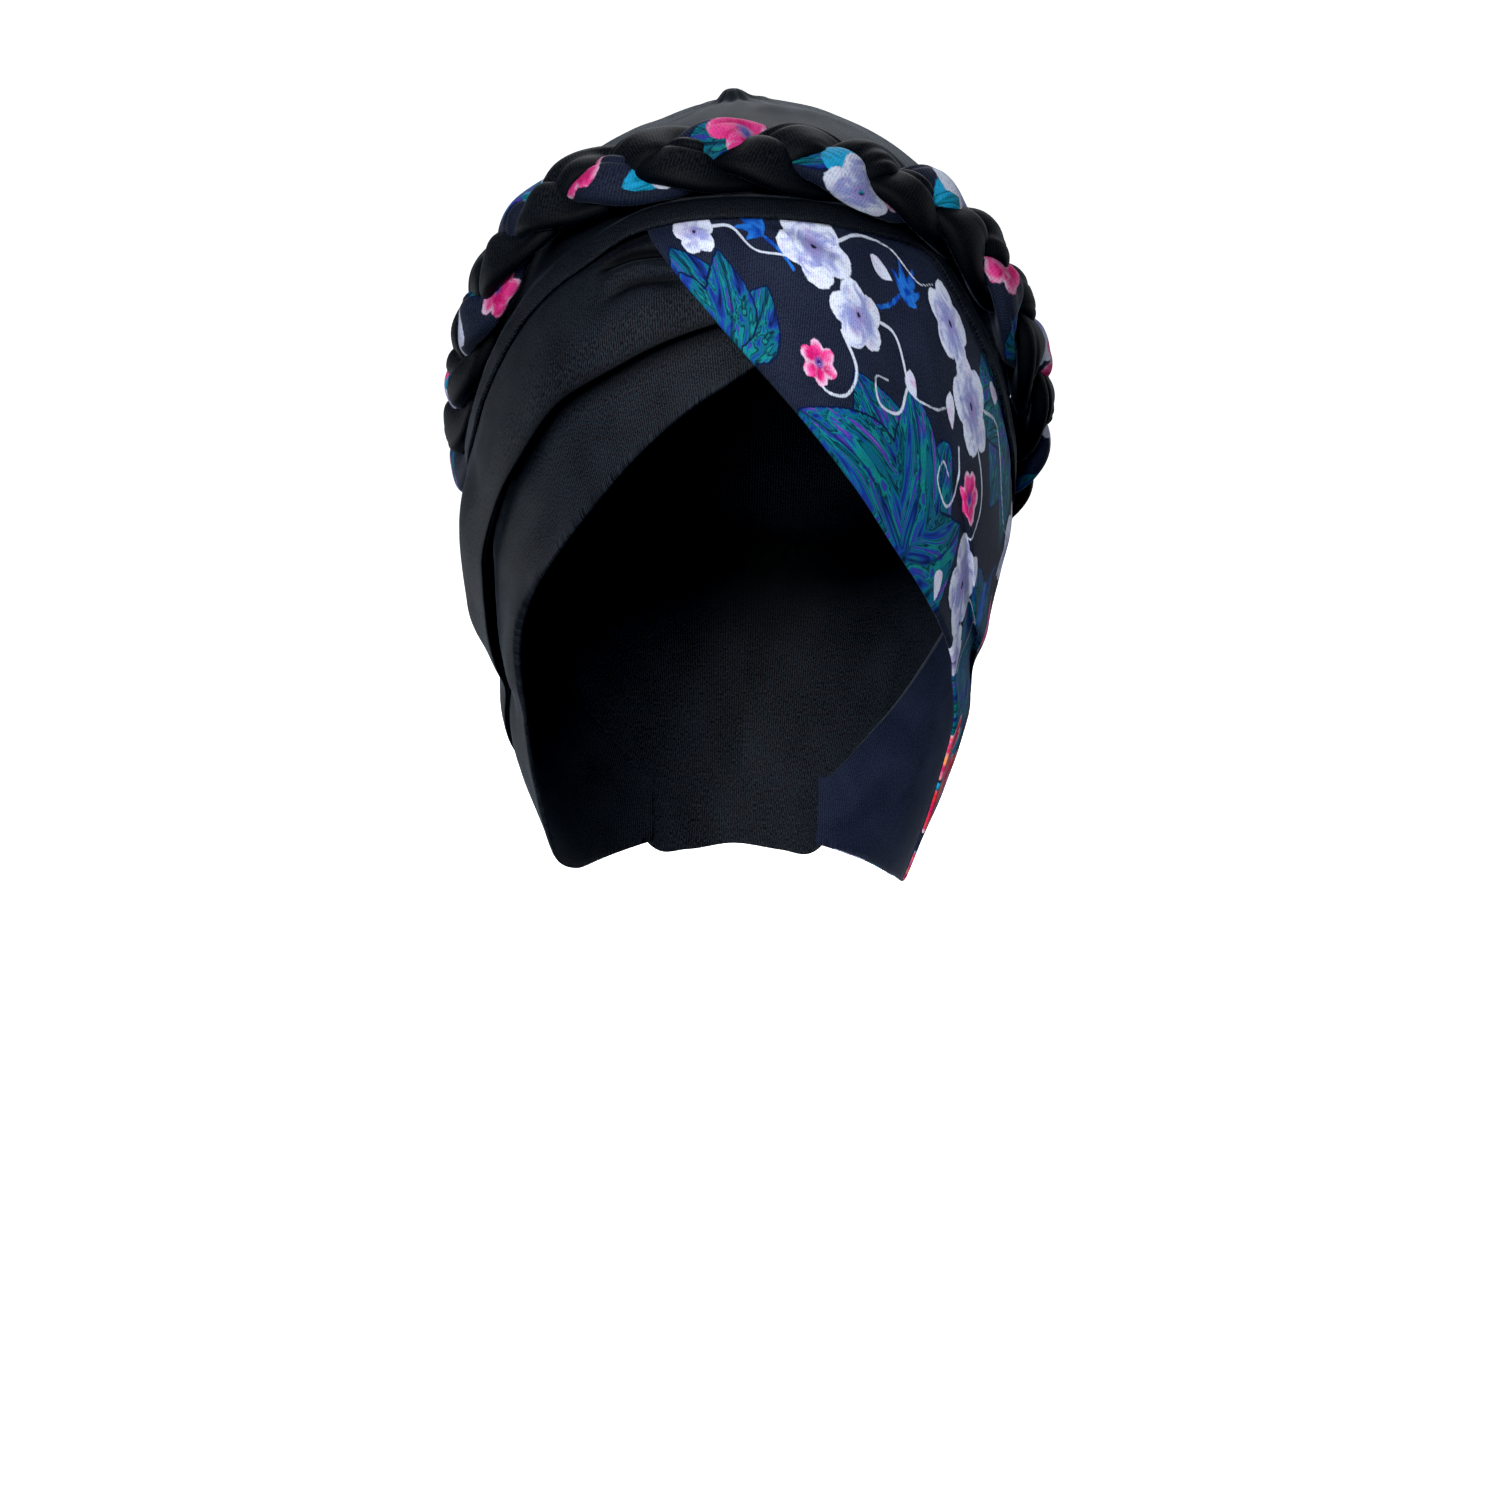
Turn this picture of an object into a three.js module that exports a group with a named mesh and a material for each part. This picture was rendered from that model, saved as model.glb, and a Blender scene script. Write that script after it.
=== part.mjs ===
// Pre-tied turban headwrap: a stretched crown, two crossed front panels and a three-strand plait.
// Millimetres, +Z up, the wearer looks towards -Y, the origin is the inside top of the crown.
// A place on the cloth is a turn round the wearer (0 in front, 90 at +X), a drop from straight up,
// both in degrees about the middle of the hollow, and a lift in millimetres off the hollow's surface.

import * as THREE from "three";

// Hollow that the cloth is stretched round
const HOLLOW = {
  halfWidth: 82,
  frontDepth: 96,
  backDepth: 100,
  upHeight: 102,
  downHeight: 200,
  planPower: 2.1,
  upPower: 2.3,
  downPower: 1.6,
};
const MIDDLE = new THREE.Vector3(0, 0, -HOLLOW.upHeight);

// Where the cloth departs from the plain hollow: it sinks in round the top, more on the left,
// flares at the tails, is pinched on the right and is pressed in along the plait
const TOP_SINK = { depth: 0.5, dropFrom: 4, dropTo: 16 };
const SETTLE = {
  depth: 2.9,
  lean: 0.75,
  turnFrom: 8,
  turnTo: 55,
  inFrom: 2,
  inTo: 18,
  outFrom: 28,
  outTo: 48,
};
const FLARE = { rise: 3.2, dropFrom: 114, dropTo: 146 };
const PINCH = { depth: 2.2, turn: 76, drop: 121, turnReach: 18, dropReach: 9 };
const PRESS_ROWS = [
  { turn: -180, depth: 0 },
  { turn: -140, depth: 0 },
  { turn: -112, depth: 4.6 },
  { turn: -64, depth: 4.8 },
  { turn: -42, depth: 0 },
  { turn: 58, depth: 0 },
  { turn: 70, depth: 0.8 },
  { turn: 86, depth: 1.2 },
  { turn: 100, depth: 4.0 },
  { turn: 126, depth: 4.0 },
  { turn: 150, depth: 0 },
  { turn: 180, depth: 0 },
];
const PRESS_REACH = { aboveFrom: 12, aboveTo: 18, belowFrom: 8.5, belowTo: 12.2 };

// Cloth layers, counted outwards from the hollow
const CLOTH = 1.3;
const CLEARANCE = 0.5;
const FIRST_LAYER = 0.4;
const LAYER_STEP = CLOTH + CLEARANCE;
const SEAM_TUCK = 0.955;
const RIM_LIFT = { from: 0.9, to: 0.94 };
const EDGE_SLACK = 2.0;

// Where the printed panel lies on the black one at the forehead
const OVERLAP = { turnFrom: -36, turnTo: 30, ease: 12 };

// Front edge of the crown: its drop on the black side and on the printed side
const RIM_ROWS = [
  { turn: 0, black: 48.1, print: 48.1 },
  { turn: 20, black: 50.2, print: 49.3 },
  { turn: 35, black: 57.0, print: 50.9 },
  { turn: 43, black: 61.8, print: 53.6 },
  { turn: 50, black: 67.7, print: 62.3 },
  { turn: 58, black: 76.3, print: 72.9 },
  { turn: 68, black: 88.0, print: 85.0 },
  { turn: 84, black: 100.5, print: 102.0 },
  { turn: 110, black: 122.0, print: 123.0 },
  { turn: 135, black: 144.0, print: 144.0 },
  { turn: 147, black: 151.6, print: 151.6 },
  { turn: 155, black: 155.6, print: 155.6 },
  { turn: 166, black: 155.5, print: 155.5 },
  { turn: 180, black: 154.8, print: 154.8 },
];

// Sections of each panel, from the forehead to the nape: seam side, free edge, and the main pleat
// as its share of the way across and the height of its step
const PRINT_SECTIONS = [
  { seamTurn: -23, edgeTurn: -21.5, edgeDrop: 49.6, pleat: 0.5, step: 0 },
  { seamTurn: -12, edgeTurn: -12, edgeDrop: 58.6, pleat: 0.5, step: 0 },
  { seamTurn: 1, edgeTurn: 0, edgeDrop: 70.3, pleat: 0.5, step: 0 },
  { seamTurn: 15, edgeTurn: 9.9, edgeDrop: 80.8, pleat: 0.5, step: 0 },
  { seamTurn: 29, edgeTurn: 19.5, edgeDrop: 92.2, pleat: 0.52, step: 0 },
  { seamTurn: 41, edgeTurn: 30, edgeDrop: 104.6, pleat: 0.54, step: 0.4 },
  { seamTurn: 51, edgeTurn: 40, edgeDrop: 114.7, pleat: 0.6, step: 1.2 },
  { seamTurn: 61, edgeTurn: 48.5, edgeDrop: 122.5, pleat: 0.72, step: 2.0 },
  { seamTurn: 72, edgeTurn: 56, edgeDrop: 129.8, pleat: 0.8, step: 2.4 },
  { seamTurn: 86, edgeTurn: 62.5, edgeDrop: 138, pleat: 0.7, step: 2.4 },
  { seamTurn: 102, edgeTurn: 66, edgeDrop: 147, pleat: 0.6, step: 1.6 },
  { seamTurn: 119, edgeTurn: 78, edgeDrop: 157.5, pleat: 0.5, step: 0.6 },
  { seamTurn: 138, edgeTurn: 112, edgeDrop: 159, pleat: 0.5, step: 0 },
  { seamTurn: 158, edgeTurn: 155, edgeDrop: 155.4, pleat: 0.5, step: 0 },
];
const BLACK_SECTIONS = [
  { seamTurn: 14, edgeTurn: 9, edgeDrop: 66, pleat: 0.8, step: 0.8 },
  { seamTurn: 0, edgeTurn: 1.8, edgeDrop: 72.4, pleat: 0.66, step: 1.2 },
  { seamTurn: -14, edgeTurn: -8.8, edgeDrop: 79.5, pleat: 0.62, step: 2.6 },
  { seamTurn: -27, edgeTurn: -18.5, edgeDrop: 88.2, pleat: 0.585, step: 3.6 },
  { seamTurn: -39, edgeTurn: -28, edgeDrop: 98.5, pleat: 0.53, step: 4.2 },
  { seamTurn: -50, edgeTurn: -37.5, edgeDrop: 108.2, pleat: 0.56, step: 4.4 },
  { seamTurn: -60, edgeTurn: -46.5, edgeDrop: 116.8, pleat: 0.57, step: 4.4 },
  { seamTurn: -71, edgeTurn: -53.5, edgeDrop: 125, pleat: 0.59, step: 4.4 },
  { seamTurn: -84, edgeTurn: -57.2, edgeDrop: 133, pleat: 0.69, step: 4.0 },
  { seamTurn: -100, edgeTurn: -60.5, edgeDrop: 142, pleat: 0.76, step: 2.0 },
  { seamTurn: -118, edgeTurn: -74, edgeDrop: 155, pleat: 0.7, step: 0.6 },
  { seamTurn: -138, edgeTurn: -112, edgeDrop: 159, pleat: 0.6, step: 0 },
  { seamTurn: -158, edgeTurn: -155, edgeDrop: 155.4, pleat: 0.5, step: 0 },
];
const PLEAT_FALL = 0.05;
const PLEAT_RAMP = 1.5;

// Folds: a line through three places, the rise of its crest, and how far it slopes above and below
const BLACK_FOLDS = [
  { turns: [-16, -28, -46], drops: [56.5, 62, 77], rise: 1.8, above: 6, below: 4 },
  { turns: [-72, -82, -82], drops: [100, 117, 132], rise: 5.5, above: 18, below: 10 },
  { turns: [-44, -58, -62], drops: [108, 124, 138], rise: 2.0, above: 5, below: 5 },
];
const PRINT_FOLDS = [
  { turns: [70, 82, 94], drops: [100, 112, 126], rise: 1.6, above: 10, below: 8 },
  { turns: [12, 8, 6], drops: [52, 59, 66], rise: 1.2, above: 4, below: 4 },
];
const CROWN_FOLDS = [
  { turns: [-40, -25, 5], drops: [5, 7, 9], rise: 3.4, above: 5, below: 5 },
  { turns: [15, 62, 74], drops: [8, 13, 24], rise: 1.6, above: 6, below: 4 },
];
const FOLD_STEPS = 24;
const FOLD_FADE = 0.18;
const FOLD_FREE_OF_RIM = { from: 3, to: 12 };

// Plait laid round the crown: its route, strand size and lay
const PLAIT_ROWS = [
  { turn: 0, drop: 38.2 },
  { turn: 25, drop: 40.9 },
  { turn: 48, drop: 48.0 },
  { turn: 65, drop: 62.4 },
  { turn: 85, drop: 82.4 },
  { turn: 110, drop: 101.0 },
  { turn: 145, drop: 115.0 },
  { turn: 180, drop: 119.0 },
];
const STRAND = { halfWidth: 4.5, halfThick: 2.4, roll: 16, sides: 8 };
const PLAIT = { sway: 7.6, weave: 3.7, turns: 9, stepsPerTurn: 12, start: 0.76, gather: 0.55 };
const PLAIT_CLEARANCE = 0.8;
const PLAIT_SEAT = FIRST_LAYER + CLOTH + PLAIT_CLEARANCE + STRAND.halfThick + PLAIT.weave;

// Mesh fineness
const CROWN_COLUMNS = 58;
const CROWN_RINGS = [0.045, 0.09, 0.14, 0.21, 0.31, 0.44, 0.57, 0.67, 0.75, 0.83, 0.885, 0.94, 0.97, 1];
const PANEL_ALONG = 36;
const PANEL_ABOVE_PLEAT = 5;
const PANEL_BELOW_PLEAT = 5;
const PANEL_ACROSS = PANEL_ABOVE_PLEAT + 1 + PANEL_BELOW_PLEAT;

const radians = THREE.MathUtils.degToRad;
const smooth = THREE.MathUtils.smoothstep;

// Value of one column of a table at any place along its key, as a smooth curve through the rows
function column(rows, key, name) {
  const keys = rows.map((row, index) => (key === "index" ? index : row[key]));
  const curve = new THREE.CubicInterpolant(keys, rows.map((row) => row[name]), 1);
  curve.settings = { endingStart: THREE.ZeroSlopeEnding, endingEnd: THREE.ZeroSlopeEnding };
  return (place) => curve.evaluate(place)[0];
}

const rimOnBlack = column(RIM_ROWS, "turn", "black");
const rimOnPrint = column(RIM_ROWS, "turn", "print");
const rimDrop = (turn) => (turn < 0 ? rimOnBlack(-turn) : rimOnPrint(turn));
const plaitColumn = column(PLAIT_ROWS, "turn", "drop");
const plaitDrop = (turn) => plaitColumn(Math.abs(turn));
const pressDepth = column(PRESS_ROWS, "turn", "depth");

// How far the cloth stands off the plain hollow at a place, less than nothing where it sinks in
function standOff(turn, drop) {
  const topSink = TOP_SINK.depth * (1 - smooth(drop, TOP_SINK.dropFrom, TOP_SINK.dropTo));
  const lean = SETTLE.depth - SETTLE.lean * Math.sin(radians(turn));
  const round = smooth(Math.abs(turn), SETTLE.turnFrom, SETTLE.turnTo);
  const ring = smooth(drop, SETTLE.inFrom, SETTLE.inTo) * (1 - smooth(drop, SETTLE.outFrom, SETTLE.outTo));
  const flare = FLARE.rise * smooth(drop, FLARE.dropFrom, FLARE.dropTo);
  const pinchTurn = (turn - PINCH.turn) / PINCH.turnReach;
  const pinchDrop = (drop - PINCH.drop) / PINCH.dropReach;
  const below = drop - plaitDrop(turn);
  const offAbove = smooth(-below, PRESS_REACH.aboveFrom, PRESS_REACH.aboveTo);
  const offBelow = smooth(below, PRESS_REACH.belowFrom, PRESS_REACH.belowTo);
  const press = pressDepth(turn) * (1 - offAbove) * (1 - offBelow);
  const pinch = PINCH.depth * Math.exp(-(pinchTurn ** 2 + pinchDrop ** 2));
  return flare - topSink - lean * round * ring - pinch - press;
}

// Point of the cloth at a turn and drop, lifted off the hollow's rounded surface
function onHollow(turn, drop, lift) {
  const across = Math.sin(radians(drop));
  const way = new THREE.Vector3(
    across * Math.sin(radians(turn)),
    -across * Math.cos(radians(turn)),
    Math.cos(radians(drop)),
  );
  const depth = way.y < 0 ? HOLLOW.frontDepth : HOLLOW.backDepth;
  const height = way.z > 0 ? HOLLOW.upHeight : HOLLOW.downHeight;
  const power = way.z > 0 ? HOLLOW.upPower : HOLLOW.downPower;
  const plan =
    Math.abs(way.x / HOLLOW.halfWidth) ** HOLLOW.planPower + Math.abs(way.y / depth) ** HOLLOW.planPower;
  const size = plan ** (power / HOLLOW.planPower) + Math.abs(way.z / height) ** power;
  return way.multiplyScalar(size ** (-1 / power) + standOff(turn, drop) + lift).add(MIDDLE);
}

// Outward direction square to the hollow's surface
function outward(turn, drop) {
  const step = 0.5;
  const round = onHollow(turn + step, drop, 0).sub(onHollow(turn - step, drop, 0));
  const down = onHollow(turn, drop + step, 0).sub(onHollow(turn, drop - step, 0));
  return down.cross(round).normalize();
}

// Height of a list of folds at a place: each falls off above and below its line and at both its ends
function foldHeight(folds, turn, drop) {
  const spot = onHollow(turn, drop, 0);
  const facing = outward(turn, drop);
  let height = 0;
  for (const fold of folds) {
    let nearest = { gap: Infinity };
    for (let step = 0; step < FOLD_STEPS; step += 1) {
      const run = fold.line[step + 1].clone().sub(fold.line[step]);
      const toSpot = spot.clone().sub(fold.line[step]);
      const part = THREE.MathUtils.clamp(toSpot.dot(run) / run.lengthSq(), 0, 1);
      const offset = toSpot.clone().addScaledVector(run, -part);
      if (offset.length() < nearest.gap) {
        const onLeft = run.cross(offset).dot(facing) > 0;
        nearest = { gap: offset.length(), along: (step + part) / FOLD_STEPS, onLeft };
      }
    }
    const reach = nearest.onLeft === fold.runsBack ? fold.below : fold.above;
    const ends = smooth(nearest.along, 0, FOLD_FADE) * smooth(1 - nearest.along, 0, FOLD_FADE);
    height = Math.max(height, fold.rise * ends * Math.exp(-((nearest.gap / reach) ** 2)));
  }
  return height;
}

// Fold rows with their lines laid on the hollow
function layFolds(rows) {
  return rows.map((row) => {
    const places = row.turns.map((turn, index) => new THREE.Vector2(turn, row.drops[index]));
    const line = new THREE.SplineCurve(places)
      .getPoints(FOLD_STEPS)
      .map((place) => onHollow(place.x, place.y, 0));
    return { ...row, line, runsBack: row.turns[2] < row.turns[0] };
  });
}

const blackFolds = layFolds(BLACK_FOLDS);
const printFolds = layFolds(PRINT_FOLDS);
const crownFolds = layFolds(CROWN_FOLDS);

// Share of the forehead overlap at a turn, 1 where both panels lie on each other
function overlapAt(turn) {
  const rise = smooth(turn, OVERLAP.turnFrom, OVERLAP.turnFrom + OVERLAP.ease);
  return rise * (1 - smooth(turn, OVERLAP.turnTo - OVERLAP.ease, OVERLAP.turnTo));
}

// Closed mesh from points and faces of three or four corners
function closedMesh(points, faces) {
  const geometry = new THREE.BufferGeometry();
  const corners = faces.flatMap(([a, b, c, d]) => (d === undefined ? [a, b, c] : [a, b, c, a, c, d]));
  geometry.setFromPoints(points);
  geometry.setIndex(corners);
  geometry.computeVertexNormals();
  return geometry;
}

// Dome wall: rings of points from the top to the rim, outside and inside, joined round the rim
function crownGeometry() {
  const points = [];
  const faces = [];
  const rings = CROWN_RINGS.length;
  const sheetSize = 1 + rings * CROWN_COLUMNS;
  for (const wall of [CLOTH, 0]) {
    points.push(onHollow(0, 0, FIRST_LAYER + wall));
    for (const share of CROWN_RINGS) {
      for (let column = 0; column < CROWN_COLUMNS; column += 1) {
        const turn = (column / CROWN_COLUMNS) * 360 - 180;
        const drop = share * rimDrop(turn);
        const overPanels = LAYER_STEP * (1 + overlapAt(turn)) * smooth(share, RIM_LIFT.from, RIM_LIFT.to);
        const lift = FIRST_LAYER + wall + overPanels + foldHeight(crownFolds, turn, drop);
        points.push(onHollow(turn, drop, lift));
      }
    }
  }
  const at = (side, ring, column) => side * sheetSize + 1 + ring * CROWN_COLUMNS + (column % CROWN_COLUMNS);
  for (let column = 0; column < CROWN_COLUMNS; column += 1) {
    faces.push([0, at(0, 0, column), at(0, 0, column + 1)]);
    faces.push([sheetSize, at(1, 0, column + 1), at(1, 0, column)]);
    for (let ring = 1; ring < rings; ring += 1) {
      const sheet = (side) => [
        at(side, ring - 1, column),
        at(side, ring, column),
        at(side, ring, column + 1),
        at(side, ring - 1, column + 1),
      ];
      faces.push(sheet(0), sheet(1).reverse());
    }
    const last = rings - 1;
    faces.push([at(0, last, column), at(1, last, column), at(1, last, column + 1), at(0, last, column + 1)]);
  }
  return closedMesh(points, faces);
}

// Panel wall: sections from the seam under the crown to the free edge, swept from forehead to nape
function panelGeometry(sections, folds, lapped) {
  const seamTurn = column(sections, "index", "seamTurn");
  const edgeTurn = column(sections, "index", "edgeTurn");
  const edgeDrop = column(sections, "index", "edgeDrop");
  const pleatShare = column(sections, "index", "pleat");
  const pleatStep = column(sections, "index", "step");
  const points = [];
  const faces = [];
  const width = PANEL_ACROSS + 1;
  const sheetSize = (PANEL_ALONG + 1) * width;
  for (const wall of [CLOTH, 0]) {
    for (let along = 0; along <= PANEL_ALONG; along += 1) {
      const section = (along / PANEL_ALONG) * (sections.length - 1);
      const seam = seamTurn(section);
      const seamDrop = SEAM_TUCK * rimDrop(seam);
      const crest = pleatShare(section);
      for (let across = 0; across < width; across += 1) {
        const onTop = across <= PANEL_ABOVE_PLEAT;
        const up = across / PANEL_ABOVE_PLEAT;
        const down = (PANEL_ACROSS - across) / PANEL_BELOW_PLEAT;
        const share = onTop ? crest * up : 1 - (1 - crest - PLEAT_FALL) * down;
        const pleat = onTop ? pleatStep(section) * up ** PLEAT_RAMP : 0;
        const turn = THREE.MathUtils.lerp(seam, edgeTurn(section), share);
        const drop = THREE.MathUtils.lerp(seamDrop, edgeDrop(section), share);
        const belowRim = smooth(drop - rimDrop(turn), FOLD_FREE_OF_RIM.from, FOLD_FREE_OF_RIM.to);
        const over = lapped ? overlapAt(turn) * (LAYER_STEP + EDGE_SLACK * belowRim) : 0;
        const lift = FIRST_LAYER + over + belowRim * (pleat + foldHeight(folds, turn, drop));
        points.push(onHollow(turn, drop, lift + wall));
      }
    }
  }
  const at = (side, along, across) => side * sheetSize + along * width + across;
  const flipped = sections[0].seamTurn > sections[sections.length - 1].seamTurn;
  const facing = (corners) => (flipped ? corners.reverse() : corners);
  for (let along = 0; along < PANEL_ALONG; along += 1) {
    for (let across = 0; across < PANEL_ACROSS; across += 1) {
      const sheet = (side) => [
        at(side, along, across),
        at(side, along, across + 1),
        at(side, along + 1, across + 1),
        at(side, along + 1, across),
      ];
      faces.push(facing(sheet(0)), facing(sheet(1).reverse()));
    }
    faces.push(facing([at(0, along + 1, 0), at(1, along + 1, 0), at(1, along, 0), at(0, along, 0)]));
    const edge = PANEL_ACROSS;
    const next = along + 1;
    faces.push(facing([at(0, along, edge), at(1, along, edge), at(1, next, edge), at(0, next, edge)]));
  }
  for (let across = 0; across < PANEL_ACROSS; across += 1) {
    const end = PANEL_ALONG;
    const next = across + 1;
    faces.push(facing([at(0, 0, across), at(1, 0, across), at(1, 0, next), at(0, 0, next)]));
    faces.push(facing([at(0, end, next), at(1, end, next), at(1, end, across), at(0, end, across)]));
  }
  return closedMesh(points, faces);
}

// Closed line round the crown that the plait follows
class PlaitRoute extends THREE.Curve {
  getPoint(share, target = new THREE.Vector3()) {
    const turn = share * 360 - 180;
    return target.copy(onHollow(turn, plaitDrop(turn), PLAIT_SEAT));
  }
}

const plaitRoute = new PlaitRoute();
plaitRoute.arcLengthDivisions = 720;

// How far round its lay a strand is, in radians
function strandPhase(share, lead) {
  const round = 2 * Math.PI;
  return round * (PLAIT.turns * share + PLAIT.start + lead) - PLAIT.gather * Math.sin(round * share);
}

// Middle of one strand: it sways across the plait once a turn and goes over and under twice a turn
function strandMiddle(share, lead) {
  const place = THREE.MathUtils.euclideanModulo(share, 1);
  const turn = plaitRoute.getUtoTmapping(place) * 360 - 180;
  const facing = outward(turn, plaitDrop(turn));
  const upward = facing.clone().cross(plaitRoute.getTangentAt(place)).normalize();
  const phase = strandPhase(place, lead);
  return plaitRoute
    .getPointAt(place)
    .addScaledVector(upward, PLAIT.sway * Math.sin(phase))
    .addScaledVector(facing, PLAIT.weave * Math.sin(2 * phase));
}

// Strand: a flat oval carried along its middle line, closed on itself
function strandGeometry(lead) {
  const points = [];
  const faces = [];
  const steps = PLAIT.turns * PLAIT.stepsPerTurn;
  const nearby = 0.1 / steps;
  for (let step = 0; step < steps; step += 1) {
    const share = step / steps;
    const middle = strandMiddle(share, lead);
    const run = strandMiddle(share + nearby, lead).sub(strandMiddle(share - nearby, lead)).normalize();
    const turn = plaitRoute.getUtoTmapping(share) * 360 - 180;
    const roll = radians(STRAND.roll) * Math.cos(3 * strandPhase(share, lead));
    const broad = outward(turn, plaitDrop(turn)).cross(run).normalize().applyAxisAngle(run, roll);
    const thick = run.clone().cross(broad);
    for (let side = 0; side < STRAND.sides; side += 1) {
      const angle = (2 * Math.PI * (side + 0.5)) / STRAND.sides;
      points.push(
        middle
          .clone()
          .addScaledVector(broad, STRAND.halfWidth * Math.cos(angle))
          .addScaledVector(thick, STRAND.halfThick * Math.sin(angle)),
      );
    }
  }
  const at = (step, side) => (step % steps) * STRAND.sides + (side % STRAND.sides);
  for (let step = 0; step < steps; step += 1) {
    for (let side = 0; side < STRAND.sides; side += 1) {
      faces.push([at(step, side), at(step, side + 1), at(step + 1, side + 1), at(step + 1, side)]);
    }
  }
  return closedMesh(points, faces);
}

// Finishes
const blackJersey = { color: 0x15161a, roughness: 0.85, metalness: 0 };
const printJersey = { color: 0x1c2036, roughness: 0.85, metalness: 0 };

// Assembly
const turban = new THREE.Group();

function addPiece(name, geometry, finish) {
  const piece = new THREE.Mesh(geometry, new THREE.MeshStandardMaterial(finish));
  piece.name = name;
  turban.add(piece);
}

addPiece("crown", crownGeometry(), blackJersey);
addPiece("front_panel_black", panelGeometry(BLACK_SECTIONS, blackFolds, false), blackJersey);
addPiece("front_panel_print", panelGeometry(PRINT_SECTIONS, printFolds, true), printJersey);
addPiece("plait_strand_print", strandGeometry(0), printJersey);
addPiece("plait_strand_black_a", strandGeometry(1 / 3), blackJersey);
addPiece("plait_strand_black_b", strandGeometry(2 / 3), blackJersey);

export default turban;
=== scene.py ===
import bpy
import numpy as np
from mathutils import Matrix, Vector


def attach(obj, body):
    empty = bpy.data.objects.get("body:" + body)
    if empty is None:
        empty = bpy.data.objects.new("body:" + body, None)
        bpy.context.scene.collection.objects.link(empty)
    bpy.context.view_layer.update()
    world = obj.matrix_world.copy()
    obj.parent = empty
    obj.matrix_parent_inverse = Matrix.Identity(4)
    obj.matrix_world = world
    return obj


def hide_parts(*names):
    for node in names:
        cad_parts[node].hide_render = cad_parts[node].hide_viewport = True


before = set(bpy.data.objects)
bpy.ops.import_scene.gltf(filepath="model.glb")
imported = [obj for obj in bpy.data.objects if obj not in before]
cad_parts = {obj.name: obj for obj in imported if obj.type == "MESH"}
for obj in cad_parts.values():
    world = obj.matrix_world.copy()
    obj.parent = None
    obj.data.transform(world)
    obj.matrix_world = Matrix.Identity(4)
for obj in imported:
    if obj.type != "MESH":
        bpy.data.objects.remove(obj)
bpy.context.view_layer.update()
print("frame loaded:", len(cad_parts), "nodes")

mm = 0.001

# Shapes are worked out in millimetres and degrees: a turn round the wearer, 0 in front and 90 at +X,
# a drop from straight up about the middle of the hollow, and a lift off the hollow's surface
hollow = dict(halfWidth=82, frontDepth=96, backDepth=100, upHeight=102, downHeight=200,
              planPower=2.1, upPower=2.3, downPower=1.6)
layers = dict(first=0.4, cloth=1.3, step=1.8, seamTuck=0.955)
sink = dict(top=0.5, topSpan=(4, 16), depth=2.9, lean=0.75,
            ringTurn=(8, 55), ringNear=(2, 18), ringFar=(28, 48), flare=3.2, flareSpan=(114, 146),
            pinch=2.2, pinchTurn=76, pinchDrop=121, pinchWide=18, pinchTall=9,
            pressAbove=(12, 18), pressBelow=(8.5, 12.2),
            pressTurn=[-180, -140, -112, -64, -42, 58, 70, 86, 100, 126, 150, 180],
            pressDepth=[0, 0, 4.6, 4.8, 0, 0, 0.8, 1.2, 4.0, 4.0, 0, 0])


def ease(x, low, high):  # 0 below low, 1 above high, a smooth cubic between
    f = np.clip((x - low) / (high - low), 0, 1)
    return f * f * (3 - 2 * f)


def curveThrough(keys, values):  # cubic through the rows, slopes from the rows beside, level at the ends
    x, y = np.array(keys, float), np.array(values, float)
    slope = np.zeros_like(y)
    slope[1:-1] = (y[2:] - y[:-2]) / (x[2:] - x[:-2])

    def at(place):
        place = np.clip(place, x[0], x[-1])
        i = np.clip(np.searchsorted(x, place, side="right") - 1, 0, len(x) - 2)
        span = x[i + 1] - x[i]
        f = (place - x[i]) / span
        start = y[i] * (1 + 2 * f) * (1 - f) ** 2 + slope[i] * span * f * (1 - f) ** 2
        return start + y[i + 1] * f * f * (3 - 2 * f) + slope[i + 1] * span * f * f * (f - 1)

    return at


plait = dict(turn=[0, 25, 48, 65, 85, 110, 145, 180],
             drop=[38.2, 40.9, 48.0, 62.4, 82.4, 101.0, 115.0, 119.0], routeSteps=2881, steps=900, around=56,
             seat=8.0, sway=6.1, weave=3.4, lays=9, start=0.76, gather=0.55, roll=12, rolls=3,
             halfWidth=8.0, halfThick=3.8, under=0.76, square=2.7, swell=0.10, puff=0.05, puffLength=34,
             rise=2.2, riseTurn=-57, riseWide=15, backRise=0.8, backSpan=(90, 140), rest=2.0, meanRadius=4.9,
             creases=3, crease=0.09, creaseApart=0.5, creaseWide=0.13, creaseLength=45,
             creaseSpan=(-0.1, 0.9), wander=0.4, wanderLength=60,
             # painted shade on the strands: even, lighter on the left and darker on the right, at the edges,
             # where tucked under, its most, and less on the printed strand
             shade=0.66, sideShade=0.20, edgeShade=0.7, edgePower=3, underShade=0.4, mostShade=0.8,
             printShade=0.6)
plaitDrop = curveThrough(plait["turn"], plait["drop"])
pressDepth = curveThrough(sink["pressTurn"], sink["pressDepth"])


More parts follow.
